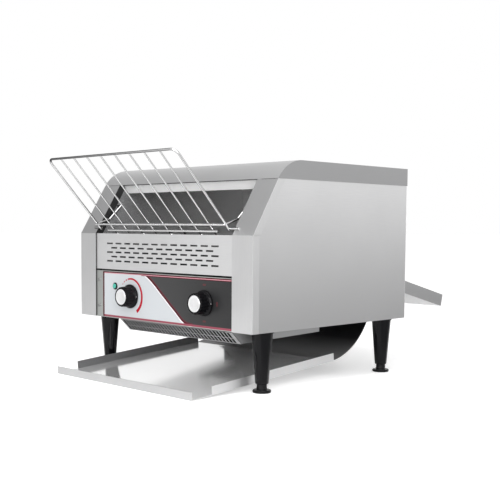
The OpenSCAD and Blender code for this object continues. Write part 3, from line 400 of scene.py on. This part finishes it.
# %% Copy a packed sheet and break its edges
def dress(node, name, body, material, width, segments=2):
    """width is the bevel's, in millimetres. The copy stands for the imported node."""
    copy = cad[node].copy()
    copy.data = cad[node].data.copy()
    for key in list(copy.keys()):
        del copy[key]
    copy.parent = None
    scene.collection.objects.link(copy)
    copy.name = copy.data.name = name
    only(copy)
    bpy.ops.object.mode_set(mode="EDIT")
    bpy.ops.mesh.customdata_custom_splitnormals_clear()
    bpy.ops.mesh.select_all(action="SELECT")
    bpy.ops.mesh.remove_doubles(threshold=0.00001)
    bpy.ops.mesh.dissolve_limited(angle_limit=math.radians(0.5))
    bpy.ops.mesh.select_mode(type="EDGE")
    bpy.ops.mesh.select_all(action="DESELECT")
    bpy.ops.mesh.edges_select_sharp(sharpness=math.radians(28))
    bpy.ops.mesh.bevel(offset=width / 1000, segments=segments, clamp_overlap=True)
    bpy.ops.object.mode_set(mode="OBJECT")
    done(copy, body, material, (node,), smooth=40)
    # The narrow rounds take their normals from the wide faces, so that a flat sheet shines flat
    flat = copy.modifiers.new("flat_gloss", "WEIGHTED_NORMAL")
    flat.mode, flat.keep_sharp = "FACE_AREA", True
    bpy.ops.object.modifier_apply(modifier=flat.name)
    print(name, len(copy.data.polygons), "faces")
    return copy


# %% A second finish for some faces
def second_finish(obj, material, test):
    """Gives the faces whose centre and normal pass the test another finish."""
    obj.data.materials.append(material)
    for face in obj.data.polygons:
        if test(face.center, face.normal):
            face.material_index = len(obj.data.materials) - 1


# %% The casing's sheets
lining_x = 0.1855           # the opening's linings lie within this
for side in ("left", "right"):
    dress("side_panel_" + side, "side_sheet_" + side, "casing", satin_side_shade_painted, 0.3)
    column = dress("front_column_" + side, "column_fold_" + side, "casing", satin_column,
        0.4)
    # Painted shade: the sloped faces get a darker copy of the steel
    second_finish(column, slope_shade_painted, lambda c, n: 0.3 < n.z < 0.8 and n.y < -0.3)
    # Painted shade: the columns' inner sides by the opening are near black, a painted shadow gap
    second_finish(column, painted_shade_dark, lambda c, n: abs(n.x) > 0.7 and abs(c.x) < lining_x)
cover = dress("top_cover", "cover_fold", "casing", cover_shade_painted, 0.45)
second_finish(cover, cover_edge_shade_painted, lambda c, n: abs(n.x) > 0.7 or n.z > 0.97)
dress("front_hood", "hood_fold", "casing", hood_steel, 0.35)
base = dress("base_plate", "base_fold", "casing", satin_side_shade_painted, 0.4)
# Painted light: the base's underside is bright
second_finish(base, underside_light_painted, lambda c, n: n.z < -0.7)
vent = dress("vent_panel", "vent_sheet", "casing", satin_front, 0.06, 1)
# Painted shade: every face of the vent sheet that does not face forward, its edges and turned-in
# lower edge too, is near black
second_finish(vent, painted_shade_dark, lambda c, n: n.y > -0.75)
vent_foot, vent_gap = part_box("vent_panel")[0].z + 0.0009, 0.0024
for vertex in vent.data.vertices:
    if vertex.co.z < vent_foot:
        vertex.co.z += vent_gap     # the lower edge is turned in, and leaves a dark gap
dress("control_panel", "control_sheet", "casing", strip_steel, 0.3)
dress("rear_panel", "rear_sheet", "casing", satin_front, 0.3, 1)
duct = dress("air_duct", "duct_fold", "casing", duct_steel, 0.35)
duct_low, duct_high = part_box("air_duct")
# Painted shade: the duct's top and inside faces are near black; painted light: its underside is
# bright
second_finish(duct, painted_shade_dark, lambda c, n: n.z > 0.5 or (abs(n.x) > 0.7
    and duct_low.x + 0.0005 < c.x < duct_high.x - 0.0005))
second_finish(duct, underside_light_painted, lambda c, n: n.z < -0.7)
grille = dress("intake_grille", "grille_sheet", "casing", grille_steel, 0.06, 1)
# Painted shade: the slots' sides and the upward faces are near black
second_finish(grille, painted_shade_dark, lambda c, n: abs(n.x) > 0.5 or n.z > 0.1)


# %% Open the grille's slots a little, to narrow bars and to the full height of the slant
grille_low, grille_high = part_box("intake_grille")
slant_way = Vector((0, 0.7234, -0.6905))
slant_start = Vector((grille_low.x + 0.006, grille_low.y, grille_high.z))
slot_pitch, slots_end = 8.6, 276            # millimetres
slot_sides = ((0, -0.4), (5.2, 5.6))        # each from its packed place to the one shown here
row_ends = ((2.9, 1.6), (15.5, 15.9), (17.9, 17.5), (27.9, 29.4))
near = 0.15                                 # a vertex this close is at the place
for vertex in grille.data.vertices:
    across = (vertex.co.x - slant_start.x) * 1000
    down = (vertex.co - slant_start).dot(slant_way) * 1000
    if -0.2 < across < slots_end:
        for old, new in slot_sides:
            apart = across % slot_pitch - old
            if abs(apart) < near or abs(apart - slot_pitch) < near:
                vertex.co.x += (new - old) / 1000
                break
        for old, new in row_ends:
            if abs(down - old) < near:
                vertex.co += slant_way * (new - old) / 1000
                break

# %% The tray with its slide, and the rear chute
tray = dress("toast_tray", "tray_fold", "tray", mirror_steel, 0.35)
tray_side, chute_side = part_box("toast_tray")[1].x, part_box("rear_chute")[1].x
lip_back, slide_front = at(0, -85, 0).y, at(0, 262, 0).y
# Painted shade: the walls' tops and the lip's top are near black
second_finish(tray, painted_shade_dark, lambda c, n: n.z > 0.3 and (abs(c.x) > tray_side - 0.0014
    or c.y < lip_back and c.z > 0.012))
# Painted shade: the slide and the left wall's inner face are dark
second_finish(tray, slide_shade_painted, lambda c, n: c.y > slide_front)
second_finish(tray, slide_shade_painted, lambda c, n: n.x > 0.7 and c.x < 0)
second_finish(tray, satin_front, lambda c, n: n.x > 0.7 and c.x > tray_side - 0.0005)
# Painted shade: the lip's front face is a darker copy of the tray steel
second_finish(tray, lip_shade_painted, lambda c, n: n.y < -0.7 and c.y < slide_front)
chute = dress("rear_chute", "chute_fold", "chute", chute_steel, 0.3)
# Painted shade: the walls' tops are near black; painted light: the undersides are bright
second_finish(chute, painted_shade_dark, lambda c, n: n.z > 0.3 and abs(c.x) > chute_side - 0.0011)
second_finish(chute, underside_light_painted, lambda c, n: n.z < -0.6)
dress("chute_rails", "chute_ledges", "casing", satin_side_shade_painted, 0.2, 1)

# %% A near-black strip behind the cover's lower front edge, a painted shadow line
shadow_strip_place, shadow_strip_size = at(0, 60.2, 352.9), (0.3696, 0.0012, 0.0024)
nothing_selected()
bpy.ops.mesh.primitive_cube_add(size=1, location=shadow_strip_place)
shadow_strip = bpy.context.object
shadow_strip.scale = shadow_strip_size
place_in_mesh(shadow_strip, "cover_shadow_strip")
bpy.ops.object.mode_set(mode="EDIT")
bpy.ops.mesh.bevel(offset=0.0003, segments=2)
bpy.ops.object.mode_set(mode="OBJECT")
done(shadow_strip, "casing", painted_shade_dark)

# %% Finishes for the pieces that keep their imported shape
kept = {
    chamber_shade_painted: ["inner_wall_left", "inner_wall_right"], baffle_light_painted: ["rear_baffle"],
    mirror_steel: ["upper_reflector", "lower_reflector"],
    # Painted shade: the heat shield behind the slots is near black
    zinc: ["leg_bolts"], painted_shade_dark: ["heat_shield"],
    tool_steel: ["motor_shaft", "motor_sprocket", "drive_chain", "drive_sprocket", "drive_shaft",
        "drive_rollers", "idler_shaft", "idler_rollers", "speed_spindle", "selector_spindle"],
    belt_wire: ["conveyor_belt"], heater_steel: ["upper_heaters", "lower_heaters"],
    ceramic: ["heater_insulators"], bronze: ["shaft_bushes"], motor_grey: ["gearmotor"],
    fan_black: ["fan_housing", "fan_rotor"],
    switch_cream: ["speed_regulator", "selector_switch", "thermostat", "terminal_block"],
    moulded_black: ["cord_gland", "lamp_body"], lens_teal: ["lamp_lens"],
    foot_black: ["foot_front_left", "foot_front_right", "foot_rear_left", "foot_rear_right"],
}
for material, names in kept.items():
    for name in names:
        cad[name].data.materials.clear()
        cad[name].data.materials.append(material)

# %% [markdown]
# ## The bent wire rack
# The rack is bent from round wire and spot welded. A wire is a circle of points that is extruded
# along each straight and spun round each bend, which is how a bending machine makes it.


# %% Bend a wire
def wire(name, start, heading, moves, radius):
    """moves: ("go", mm) or ("turn", bend radius in mm, degrees, axis of the turn)."""
    heading = Vector(heading).normalized()
    start = Vector(start)
    turn = Vector((0, 0, 1)).rotation_difference(heading).to_euler()
    nothing_selected()
    bpy.ops.mesh.primitive_circle_add(vertices=16, radius=radius / 1000, fill_type="NGON",
        location=start, rotation=turn)
    obj = place_in_mesh(bpy.context.object, name)
    bpy.ops.object.mode_set(mode="EDIT")
    bpy.ops.mesh.select_mode(type="FACE")
    bpy.ops.mesh.select_all(action="SELECT")
    here = start.copy()
    for move in moves:
        if move[0] == "go":
            step = heading * move[1] / 1000
            bpy.ops.mesh.extrude_region_move(TRANSFORM_OT_translate={"value": step})
            here += step
        else:
            axis = Vector(move[3]).normalized()
            way = 1 if move[2] > 0 else -1
            centre = here + axis.cross(heading) * way * move[1] / 1000
            steps = max(2, round(abs(move[2]) / 11))
            bpy.ops.mesh.spin(steps=steps, angle=-math.radians(move[2]), center=centre, axis=axis)
            spun = Matrix.Rotation(math.radians(move[2]), 3, axis)
            here = centre + spun @ (here - centre)
            heading = spun @ heading
    bpy.ops.mesh.select_all(action="SELECT")
    bpy.ops.mesh.remove_doubles(threshold=0.000005)
    bpy.ops.mesh.normals_make_consistent(inside=False)
    bpy.ops.object.mode_set(mode="OBJECT")
    return obj, here


# %% The rack's sizes in millimetres, and its own directions
rack_angle = math.radians(46.8)
reach, half = 156, 174              # up the rack to the bread wires' tops, and half its width
pitch = 2 * half / 9                # between wires
frame_start, frame_len, frame_bend, pair_bend, tail = -14, 170, 12, 5, -28
frame_r, bread_r = 2, 1.5           # the wires' radii
rack_y, rack_z = -4.8, 279          # where the frame wire passes over the upper cross bar
bar_below = 3.0                     # from the frame wire down to the cross bars
up_rack = Vector((0, -math.cos(rack_angle), math.sin(rack_angle)))
off_rack = Vector((0, math.sin(rack_angle), math.cos(rack_angle)))


def on_rack(x, along, off=0.0):
    """Millimetres across the rack, up along it and out of its plane."""
    return at(x, rack_y, rack_z) + (up_rack * along + off_rack * off) / 1000


# %% Frame wire, bread wires and cross bars
wires = []
piece, end = wire("rack_frame_wire", on_rack(-half, frame_start), up_rack,
    [("go", frame_len - frame_bend), ("turn", frame_bend, 90, off_rack),
     ("go", 2 * (half - frame_bend)), ("turn", frame_bend, 90, off_rack),
     ("go", frame_len - frame_bend)], frame_r)
wires.append(piece)
print("frame wire ends at", end[:], "planned", on_rack(half, frame_start)[:])
down_rack = reach - tail - pair_bend
for i in range(4):
    middle = (i - 1.5) * 2 * pitch
    piece, end = wire("rack_pair_%d" % i, on_rack(middle - pitch / 2, reach), -up_rack,
        [("go", down_rack), ("turn", pair_bend, -90, off_rack), ("go", pitch - 2 * pair_bend),
         ("turn", pair_bend, -90, off_rack), ("go", down_rack)], bread_r)
    wires.append(piece)
    print("pair ends at", end[:], "planned", on_rack(middle + pitch / 2, reach)[:])
for name, along, half_bar in (("upper", 0, half), ("lower", -15, half - pitch + 14)):
    piece, end = wire("rack_bar_" + name, on_rack(-half_bar, along, -bar_below), (1, 0, 0),
        [("go", 2 * half_bar)], frame_r)
    wires.append(piece)

# %% Hooks and pegs at both sides
bar_y = rack_y - bar_below * math.sin(rack_angle)
bar_z = rack_z - bar_below * math.cos(rack_angle)
slope = math.radians(58)            # the columns' slope, which the hooks lean on
hook_y, hook_z = 53 / math.tan(slope) + 16.3 / math.sin(slope), 313
peg_y, peg_z = 6, 270.5             # the rack tilts on its pegs
for side in (-1, 1):
    points = [(bar_y, bar_z), (bar_y + 31.5, bar_z + 10), (hook_y, hook_z)]
    for i, (a, b) in enumerate(zip(points, points[1:])):
        step = Vector((0, b[0] - a[0], b[1] - a[1]))
        piece, end = wire("rack_arm_%d_%d" % (side, i), at(side * half, *a), step,
            [("go", step.length)], frame_r)
        wires.append(piece)
    for i, (y, z) in enumerate(points):
        bpy.ops.mesh.primitive_uv_sphere_add(segments=16, ring_count=10, radius=0.00215,
            location=at(side * half, y, z))
        wires.append(place_in_mesh(bpy.context.object, "rack_bend_%d_%d" % (side, i)))
    piece, end = wire("rack_hook_%d" % side, at(side * half, hook_y, hook_z), (side, 0, 0),
        [("go", 11.7)], frame_r)
    wires.append(piece)
    piece, end = wire("rack_peg_%d" % side, at(side * (half - 1), peg_y, peg_z), (side, 0, 0),
        [("go", 22)], frame_r)
    wires.append(piece)

# %% Join the wires into one rack
rack = join(wires, "wire_rack")
done(rack, "rack", chrome_wire_painted_rim, ("feed_rack",), smooth=50)


def is_cross_wire(centre, normal):
    """The cross bars and the frame's upper side, whose grain runs across the rack."""
    offset = (centre - on_rack(0, 0)) * 1000
    along, off = offset.dot(up_rack), offset.dot(off_rack)
    return abs(normal.x) < 0.1 and (along > 167 or off < -1.2 and -18 < along < 3)


# The cross wires get their own grain and a wider painted shade along their sides
second_finish(rack, chrome_cross_painted_rim, is_cross_wire)
print("rack faces:", len(rack.data.polygons))

# %% [markdown]
# ## Control overlay
# The overlay is one printed film. Each colour of the print is a thin layer on top of it, cut to
# its own outline, so that the borders stay crisp at any distance.


# %% Print helpers
print_y = (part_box("control_overlay")[0].y - front_y) * 1000


def smooth_line(points, steps=6):
    """A curve through the points, as a list of points."""
    out = []
    p = [points[0]] + list(points) + [points[-1]]
    for i in range(1, len(p) - 2):
        for k in range(steps):
            t = k / steps
            out.append(tuple(0.5 * ((2 * p[i][j]) + (-p[i - 1][j] + p[i + 1][j]) * t
                + (2 * p[i - 1][j] - 5 * p[i][j] + 4 * p[i + 1][j] - p[i + 2][j]) * t * t
                + (-p[i - 1][j] + 3 * p[i][j] - 3 * p[i + 1][j] + p[i + 2][j]) * t ** 3)
                for j in (0, 1)))
    return out + [tuple(points[-1])]


def layer(name, left, right, material, depth, body="casing", y=None):
    """A thin printed strip between two lines of (x, z) points of equal count."""
    front = (print_y if y is None else y) - depth
    nothing_selected()
    bpy.ops.mesh.primitive_grid_add(x_subdivisions=1, y_subdivisions=len(left) - 1, size=1)
    obj = bpy.context.object
    for vertex in obj.data.vertices:
        row = round((vertex.co.y + 0.5) * (len(left) - 1))
        x, z = (left if vertex.co.x < 0 else right)[row]
        vertex.co = at(x, front, z)
    place_in_mesh(obj, name)
    bpy.ops.object.mode_set(mode="EDIT")
    bpy.ops.mesh.select_all(action="SELECT")
    bpy.ops.mesh.extrude_region_move(TRANSFORM_OT_translate={"value": (0, depth * 0.9 / 1000, 0)})
    bpy.ops.mesh.select_all(action="SELECT")
    bpy.ops.mesh.normals_make_consistent(inside=False)
    bpy.ops.object.mode_set(mode="OBJECT")
    return done(obj, body, material)


def band_line(name, points, width, material, depth):
    """A printed line of constant width along a list of points."""
    left, right = [], []
    for i, p in enumerate(points):
        a, b = points[max(0, i - 1)], points[min(len(points) - 1, i + 1)]
        d = Vector((b[0] - a[0], b[1] - a[1])).normalized() * width / 2
        left.append((p[0] - d.y, p[1] + d.x))
        right.append((p[0] + d.y, p[1] - d.x))
    return layer(name, left, right, material, depth)


# %% Fields, divider and border of the print
x0, x1, z0, z1 = -164.0, 183.5, 103.5, 188.5        # the film's edges
divider = smooth_line([(-62, z1), (-51, 187), (-39, 184), (-25, 176), (-11, 166), (2, 155.5),
    (16, 144.7), (29.5, 134), (43, 124), (56, 113.4), (66, 107.2), (77, 104.3), (90, z0)])
edge = [(x1, z) for x, z in divider]
dress("control_overlay", "overlay_film", "casing", print_light, 0.1, 1)
layer("overlay_dark_field", divider, edge, print_dark_painted_glare, 0.03)
aside_x, aside_z = 0.66, 0.75       # square to the divider's slope
for name, width, offset, material, depth in (("dull_red", 4.4, 4.0, print_dull_red, 0.045),
        ("white", 2.0, 0.0, print_white, 0.05), ("deep_red", 2.6, 2.2, print_deep_red, 0.055)):
    line = [(x + offset * aside_x, min(z1 - 2, z + offset * aside_z)) for x, z in divider[6:-2]]
    band_line("divider_" + name, line, width, material, depth)
for name, inset, width, material, depth in (("top_dull_red", 3.9, 1.2, print_deep_red, 0.06),
        ("top_pink", 2.6, 1.5, print_pink, 0.065), ("top", 0.95, 1.9, print_deep_red, 0.07)):
    band_line("border_" + name, [(-50 if inset > 3 else x0 + 3, z1 - inset), (x1, z1 - inset)],
        width, material, depth)
band_line("border_bottom", [(x0 + 3, z0 + 1.8), (x1, z0 + 1.8)], 3.6, print_mid_red, 0.06)
band_line("border_left", [(x0 + 2, z0), (x0 + 2, z1)], 4.0, print_deep_red, 0.075)


# %% Speed arc: thin and dotted at slow, thick at fast
def arc_layer(name, centre, radius, first, last, thin, thick, material):
    """A printed arc. first and last are degrees from the top, clockwise."""
    def around(r, a):
        return centre[0] + r * math.sin(a), centre[1] + r * math.cos(a)

    inner, outer = [], []
    steps = max(6, round(abs(last - first) / 5))
    for i in range(steps + 1):
        a = math.radians(first + (last - first) * i / steps)
        w = (thin + (thick - thin) * i / steps) / 2
        inner.append(around(radius - w, a))
        outer.append(around(radius + w, a))
    return layer(name, outer, inner, material, 0.05)


select_low, select_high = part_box("selector_knob")
speed_x, select_x, knob_z = -80, (select_low.x + select_high.x) * 500, 145.5
speed_centre, heat_centre = (speed_x, knob_z), (select_x, knob_z)
for i in range(3):
    a = -50 + i * 11
    arc_layer("speed_dot_%d" % i, speed_centre, 32, a, a + 5 + i, 1.2 + 0.4 * i, 1.6 + 0.5 * i,
        print_red)
arc_layer("speed_arc", speed_centre, 32, -16, 148, 2.8, 6.0, print_red)
for name, a in (("heat_mark_upper", 0), ("heat_mark_side", 90), ("heat_mark_lower", 180)):
    arc_layer(name, heat_centre, 31, a - 7, a + 7, 3.2, 3.2, print_dim_red)

# %% [markdown]
# ## Knobs
# A knob is a lathe-turned shape: skirt, neck and grip. The grip then gets flutes, where its wall
# is pulled inward in a wave, and a bright turned cap sits in its face.


# %% Turn a shape on the lathe and stand it on the panel
def lathe(name, profile, centre_x, centre_z, base_y, steps=96):
    """profile: (radius, height) from the panel outwards, in millimetres."""
    nothing_selected()
    bpy.ops.mesh.primitive_circle_add(vertices=3, radius=0.001, fill_type="NOTHING")
    obj = bpy.context.object
    mesh = bmesh.new()
    line = [mesh.verts.new((r / 1000, 0, h / 1000)) for r, h in profile]
    for a, b in zip(line, line[1:]):
        mesh.edges.new((a, b))
    mesh.to_mesh(obj.data)
    mesh.free()
    only(obj)
    bpy.ops.object.mode_set(mode="EDIT")
    bpy.ops.mesh.select_mode(type="VERT")
    bpy.ops.mesh.select_all(action="SELECT")
    bpy.ops.mesh.spin(steps=steps, angle=2 * math.pi, center=(0, 0, 0), axis=(0, 0, 1))
    bpy.ops.mesh.select_all(action="SELECT")
    bpy.ops.mesh.remove_doubles(threshold=0.000002)
    bpy.ops.mesh.normals_make_consistent(inside=False)
    bpy.ops.object.mode_set(mode="OBJECT")
    obj.rotation_euler = (math.pi / 2, 0, 0)
    obj.location = at(centre_x, base_y, centre_z)
    return place_in_mesh(obj, name)


# %% Both knobs
knob_back = (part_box("speed_knob")[1].y - front_y) * 1000
cap_front, mark_front = 22, 3.9     # from the knob's back to the cap's seat and to the pointer
knob_profile = [(0, 0), (21.2, 0), (21.8, 0.3), (22, 0.9), (22, 2.6), (21.6, 3.6), (20.4, 4.5),
    (19.2, 4.9), (18.9, 5.3), (18.8, 6.0), (18.7, 7.0), (18.2, 20.0), (18.0, 21.6),
    (17.5, 22.5), (16.7, 23.0), (14.6, 23.0), (14.35, 22.7), (14.3, 22.0), (0, 22.0)]
cap_profile = [(0, 0), (14.2, 0), (14.2, 0.7), (13.9, 1.1), (13.3, 1.4), (12.5, 1.5), (12.2, 1.35),
    (9, 1.3), (0, 1.25)]
flutes, flute_depth = 18, 1.5
for label, x, body in (("speed", speed_x, "speed_control"), ("selector", select_x, "heat_control")):
    knob = lathe(label + "_knob_moulding", knob_profile, x, knob_z, knob_back, flutes * 8)
    centre = at(x, knob_back, knob_z)
    for vertex in knob.data.vertices:
        out = vertex.co - centre
        height, radius = -out.y * 1000, math.hypot(out.x, out.z) * 1000
        if 6.5 < height < 22.6 and radius > 17.2:       # the grip's wall
            turn = math.atan2(out.z, out.x) * flutes
            dip = 1.0 - flute_depth / radius * (0.5 + 0.5 * math.cos(turn)) ** 1.5
            vertex.co.x, vertex.co.z = centre.x + out.x * dip, centre.z + out.z * dip
    done(knob, body, moulded_black, (label + "_knob",), smooth=35)
    cap = lathe(label + "_cap_turning", cap_profile, x, knob_z, knob_back - cap_front)
    done(cap, body, cap_bright, (label + "_knob_cap",))
    low, high = ([(x + 18.9, z), (x + 21.2, z)] for z in (knob_z - 1.1, knob_z + 1.1))
    layer(label + "_pointer_mark", low, high, print_white, 0.2, body, knob_back - mark_front)

# %% [markdown]
# ## Screws
# The visible screws have a shallow domed head with a cross recess. Each set is one piece.


# %% One screw head
head_r, head_h = 0.0033, 0.0019


def screw_head(name, place, outward):
    """A domed head with a cross recess on the face at place, facing outward (-1 front, 1 rear)."""
    nothing_selected()
    bpy.ops.mesh.primitive_cylinder_add(vertices=32, radius=head_r, depth=head_h,
        location=(0, 0, head_h / 2))
    head = place_in_mesh(bpy.context.object, name)
    select_faces(head, lambda c, n: n.z > 0.9)
    bpy.ops.mesh.inset(thickness=0.0006)
    bpy.ops.mesh.inset(thickness=0.0008)
    bpy.ops.object.mode_set(mode="OBJECT")
    for vertex in head.data.vertices:
        if vertex.co.z > head_h - 0.0001:
            radius = math.hypot(vertex.co.x, vertex.co.y)
            vertex.co.z -= 0.0006 * (radius / head_r) ** 3
    cutters = []
    for turn in (0, math.pi / 2):
        bpy.ops.mesh.primitive_cube_add(size=1, location=(0, 0, 0.0018), rotation=(0, 0, turn))
        cutter = bpy.context.object
        cutter.scale = (0.0036, 0.0008, 0.0014)
        cutters.append(place_in_mesh(cutter, "recess"))
    for cutter in cutters:
        only(head)
        cut = head.modifiers.new("recess", "BOOLEAN")
        cut.object = cutter
        bpy.ops.object.modifier_apply(modifier=cut.name)
        bpy.data.objects.remove(cutter)
    head.rotation_euler = (math.pi / 2 * (1 if outward < 0 else -1), 0, 0)
    head.location = place
    return place_in_mesh(head, name)


# %% Heads on the bare strip and on the rear
strip = [(-176, 2, z) for z in (172.5, 123)]
cover_back, panel_back, low_row = 420, 419, 110
rear = [(x * 230.5, cover_back, 369) for x in (-0.9, -0.45, 0, 0.45, 0.9)]
rear += [(side * 222.5, panel_back, z) for side in (-1, 1) for z in (low_row, 249)]
rear += [(side * 115.25, panel_back, low_row) for side in (-1, 1)]
for label, places, outward, node in (("strip_screw_%d", strip, -1, "panel_screws"),
        ("rear_screw_%d", rear, 1, "rear_screws")):
    heads = [screw_head(label % i, at(*place), outward) for i, place in enumerate(places)]
    done(join(heads, node + "_heads"), "casing", screw_steel, (node,))

# %% [markdown]
# ## Legs
# The legs are moulded, with a round flange above and eight soft facets that taper to a round end.

# %% A tapered leg with eight facets, whose corners are cut wide at the top and narrow below
leg_low, leg_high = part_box("legs")
flange_r, flange_h = 19.5, 3
leg_x = leg_high.x * 1000 - flange_r
leg_ys = [(leg_low.y - front_y) * 1000 + flange_r, (leg_high.y - front_y) * 1000 - flange_r]
flange_z, low_z = leg_high.z * 1000 - flange_h, leg_low.z * 1000
top_r, low_r = 18.1, 11.1           # out to the corners
top_cut, low_cut = 9, 4             # degrees to either side of a corner
legs = []
for i, (x, y) in enumerate([(side * leg_x, y) for side in (-1, 1) for y in leg_ys]):
    nothing_selected()
    bpy.ops.mesh.primitive_cylinder_add(vertices=16, radius=top_r / 1000,
        depth=(flange_z - low_z) / 1000, location=at(x, y, (flange_z + low_z) / 2),
        rotation=(0, 0, math.pi / 16))
    leg = place_in_mesh(bpy.context.object, "leg_facets_%d" % i)
    axis = at(x, y, 0)
    for vertex in leg.data.vertices:
        radius, cut = (low_r, low_cut) if vertex.co.z < 0.05 else (top_r, top_cut)
        turn = math.degrees(math.atan2(vertex.co.y - axis.y, vertex.co.x - axis.x))
        corner = round(turn / 45) * 45
        turn = math.radians(corner + math.copysign(cut, turn - corner))
        vertex.co.x = axis.x + radius / 1000 * math.cos(turn)
        vertex.co.y = axis.y + radius / 1000 * math.sin(turn)
    for width, test in ((0.0006, lambda a, b: abs(a.z - b.z) > 0.05),
            (0.0012, lambda a, b: max(a.z, b.z) < 0.02)):
        select_edges(leg, test)
        bpy.ops.mesh.bevel(offset=width, segments=3)
        bpy.ops.object.mode_set(mode="OBJECT")
    legs.append(leg)
    bpy.ops.mesh.primitive_cylinder_add(vertices=64, radius=flange_r / 1000,
        depth=flange_h / 1000, location=at(x, y, flange_z + flange_h / 2))
    flange = place_in_mesh(bpy.context.object, "leg_flange_%d" % i)
    select_edges(flange, lambda a, b: abs(a.z - b.z) < 1e-6 and a.z < 0.1)
    bpy.ops.mesh.bevel(offset=0.0008, segments=3)
    bpy.ops.object.mode_set(mode="OBJECT")
    legs.append(flange)
done(join(legs, "legs_moulded"), "casing", leg_black, ("legs",), smooth=35)

# %% [markdown]
# ## Counter and light
# A wide pale floor and a white surround. One broad soft lamp hangs above and one stands at the
# right, a narrow strip of light stands in front, and a small low lamp near the camera. Metal sees
# a surround that is darker overhead and far to the left, and a floor of middle grey.

# %% A soft step between two values
def ramp(tree, value, low, high, at_low, at_high):
    """From at_low to at_high, while the value goes from low to high."""
    node = tree.nodes.new("ShaderNodeMapRange")
    node.interpolation_type = "SMOOTHSTEP"
    ends = {"From Min": low, "From Max": high, "To Min": at_low, "To Max": at_high}
    for key, number in ends.items():
        node.inputs[key].default_value = number
    tree.links.new(value, node.inputs["Value"])
    return node.outputs["Result"]


# %% The floor
nothing_selected()
bpy.ops.mesh.primitive_plane_add(size=60, location=(0, 0, 0))
floor = bpy.context.object
floor.name = "floor"
floor_material = bpy.data.materials.new("floor_white")
floor_material.use_nodes = True
floor_shader = floor_material.node_tree.nodes["Principled BSDF"]
floor_shader.inputs["Roughness"].default_value = 0.9

# It looks white to the camera and keeps its soft shadow. In the steel it is a middle grey, lighter
# round the toaster's foot and far to the right
floor_tree = floor_material.node_tree
floor_rays = floor_tree.nodes.new("ShaderNodeLightPath")
floor_tone = floor_tree.nodes.new("ShaderNodeMix")
floor_tone.data_type = "RGBA"
floor_tone.inputs["A"].default_value = (0.92, 0.92, 0.92, 1)
floor_axes = floor_tree.nodes.new("ShaderNodeSeparateXYZ")
floor_spot = floor_tree.nodes.new("ShaderNodeTexCoord").outputs["Object"]
floor_tree.links.new(floor_spot, floor_axes.inputs[0])
floor_reach = floor_tree.nodes.new("ShaderNodeVectorMath")
floor_reach.operation = "LENGTH"
floor_tree.links.new(floor_spot, floor_reach.inputs[0])
floor_near = ramp(floor_tree, floor_reach.outputs["Value"], 0.45, 1.1, 0.30, 0.0)
floor_left = ramp(floor_tree, floor_axes.outputs[0], 0.2, 0.36, 1.0, 0.0)
floor_right = ramp(floor_tree, floor_axes.outputs[0], 0.2, 0.4, 0.0, 0.2)
floor_far = ramp(floor_tree, floor_axes.outputs[0], 0.7, 2.0, 0.0, 0.24)
tone = math_node(floor_tree, "ADD", 0.54, math_node(floor_tree, "MULTIPLY", floor_near, floor_left))
tone = math_node(floor_tree, "ADD", math_node(floor_tree, "SUBTRACT", tone, floor_right), floor_far)
floor_tree.links.new(tone, floor_tone.inputs["B"])
floor_tree.links.new(floor_rays.outputs["Is Glossy Ray"], floor_tone.inputs["Factor"])
floor_tree.links.new(floor_tone.outputs["Result"], floor_shader.inputs["Base Color"])
floor_shader.inputs["Emission Color"].default_value = (1, 1, 1, 1)
floor_tree.links.new(math_node(floor_tree, "MULTIPLY", floor_rays.outputs["Is Camera Ray"], 0.4),
    floor_shader.inputs["Emission Strength"])
floor.data.materials.append(floor_material)

# %% The surround
world = bpy.data.worlds.new("studio")
scene.world = world
world.use_nodes = True
tree = world.node_tree
background = tree.nodes["Background"]
rays = tree.nodes.new("ShaderNodeLightPath")
way = tree.nodes.new("ShaderNodeSeparateXYZ")
tree.links.new(tree.nodes.new("ShaderNodeTexCoord").outputs["Generated"], way.inputs[0])

# Metal sees a surround that is a little darker overhead and far to the left
forward = ramp(tree, way.outputs[1], 0.0, 0.4, 1.0, 0.0)
left = math_node(tree, "MULTIPLY", forward, ramp(tree, way.outputs[0], -0.98, -0.62, 0.7, 0.0))
mirrored = math_node(tree, "MULTIPLY", ramp(tree, way.outputs[2], 0.15, 0.75, 1.0, 0.62),
    math_node(tree, "SUBTRACT", 1.0, left))
mirrored = math_node(tree, "MULTIPLY", mirrored, rays.outputs["Is Glossy Ray"])
clear = math_node(tree, "MAXIMUM", rays.outputs["Is Camera Ray"],
    rays.outputs["Is Transmission Ray"])
direct = math_node(tree, "MAXIMUM", clear, mirrored)
soft = math_node(tree, "SUBTRACT", 1.0, math_node(tree, "MAXIMUM", clear,
    rays.outputs["Is Glossy Ray"]))
tree.links.new(math_node(tree, "ADD", direct, math_node(tree, "MULTIPLY", soft, 0.7)),
    background.inputs["Strength"])
background.inputs["Color"].default_value = (1, 1, 1, 1)


# %% Lamps
def lamp(name, place, target, size, power, height=None):
    data = bpy.data.lights.new(name, "AREA")
    data.shape, data.energy = "RECTANGLE", power
    data.size, data.size_y = size, height or size
    obj = bpy.data.objects.new(name, data)
    scene.collection.objects.link(obj)
    obj.location = place
    obj.rotation_euler = (Vector(target) - Vector(place)).to_track_quat("-Z", "Y").to_euler()
    return obj


lamp("lamp_over", (0.3, -0.6, 2.4), (0, 0, 0.2), 1.6, 20)
lamp("lamp_right", (1.9, -1.5, 1.5), (0, 0, 0.2), 1.4, 16)
lamp("lamp_strip", (0.35, -1.9, 0.55), (0, 0, 0.15), 0.12, 5, 1.1)
lamp("lamp_low", (1.5, -1.3, 0.42), (0, 0, 0.25), 0.5, 5)
scene.view_settings.view_transform = "Standard"
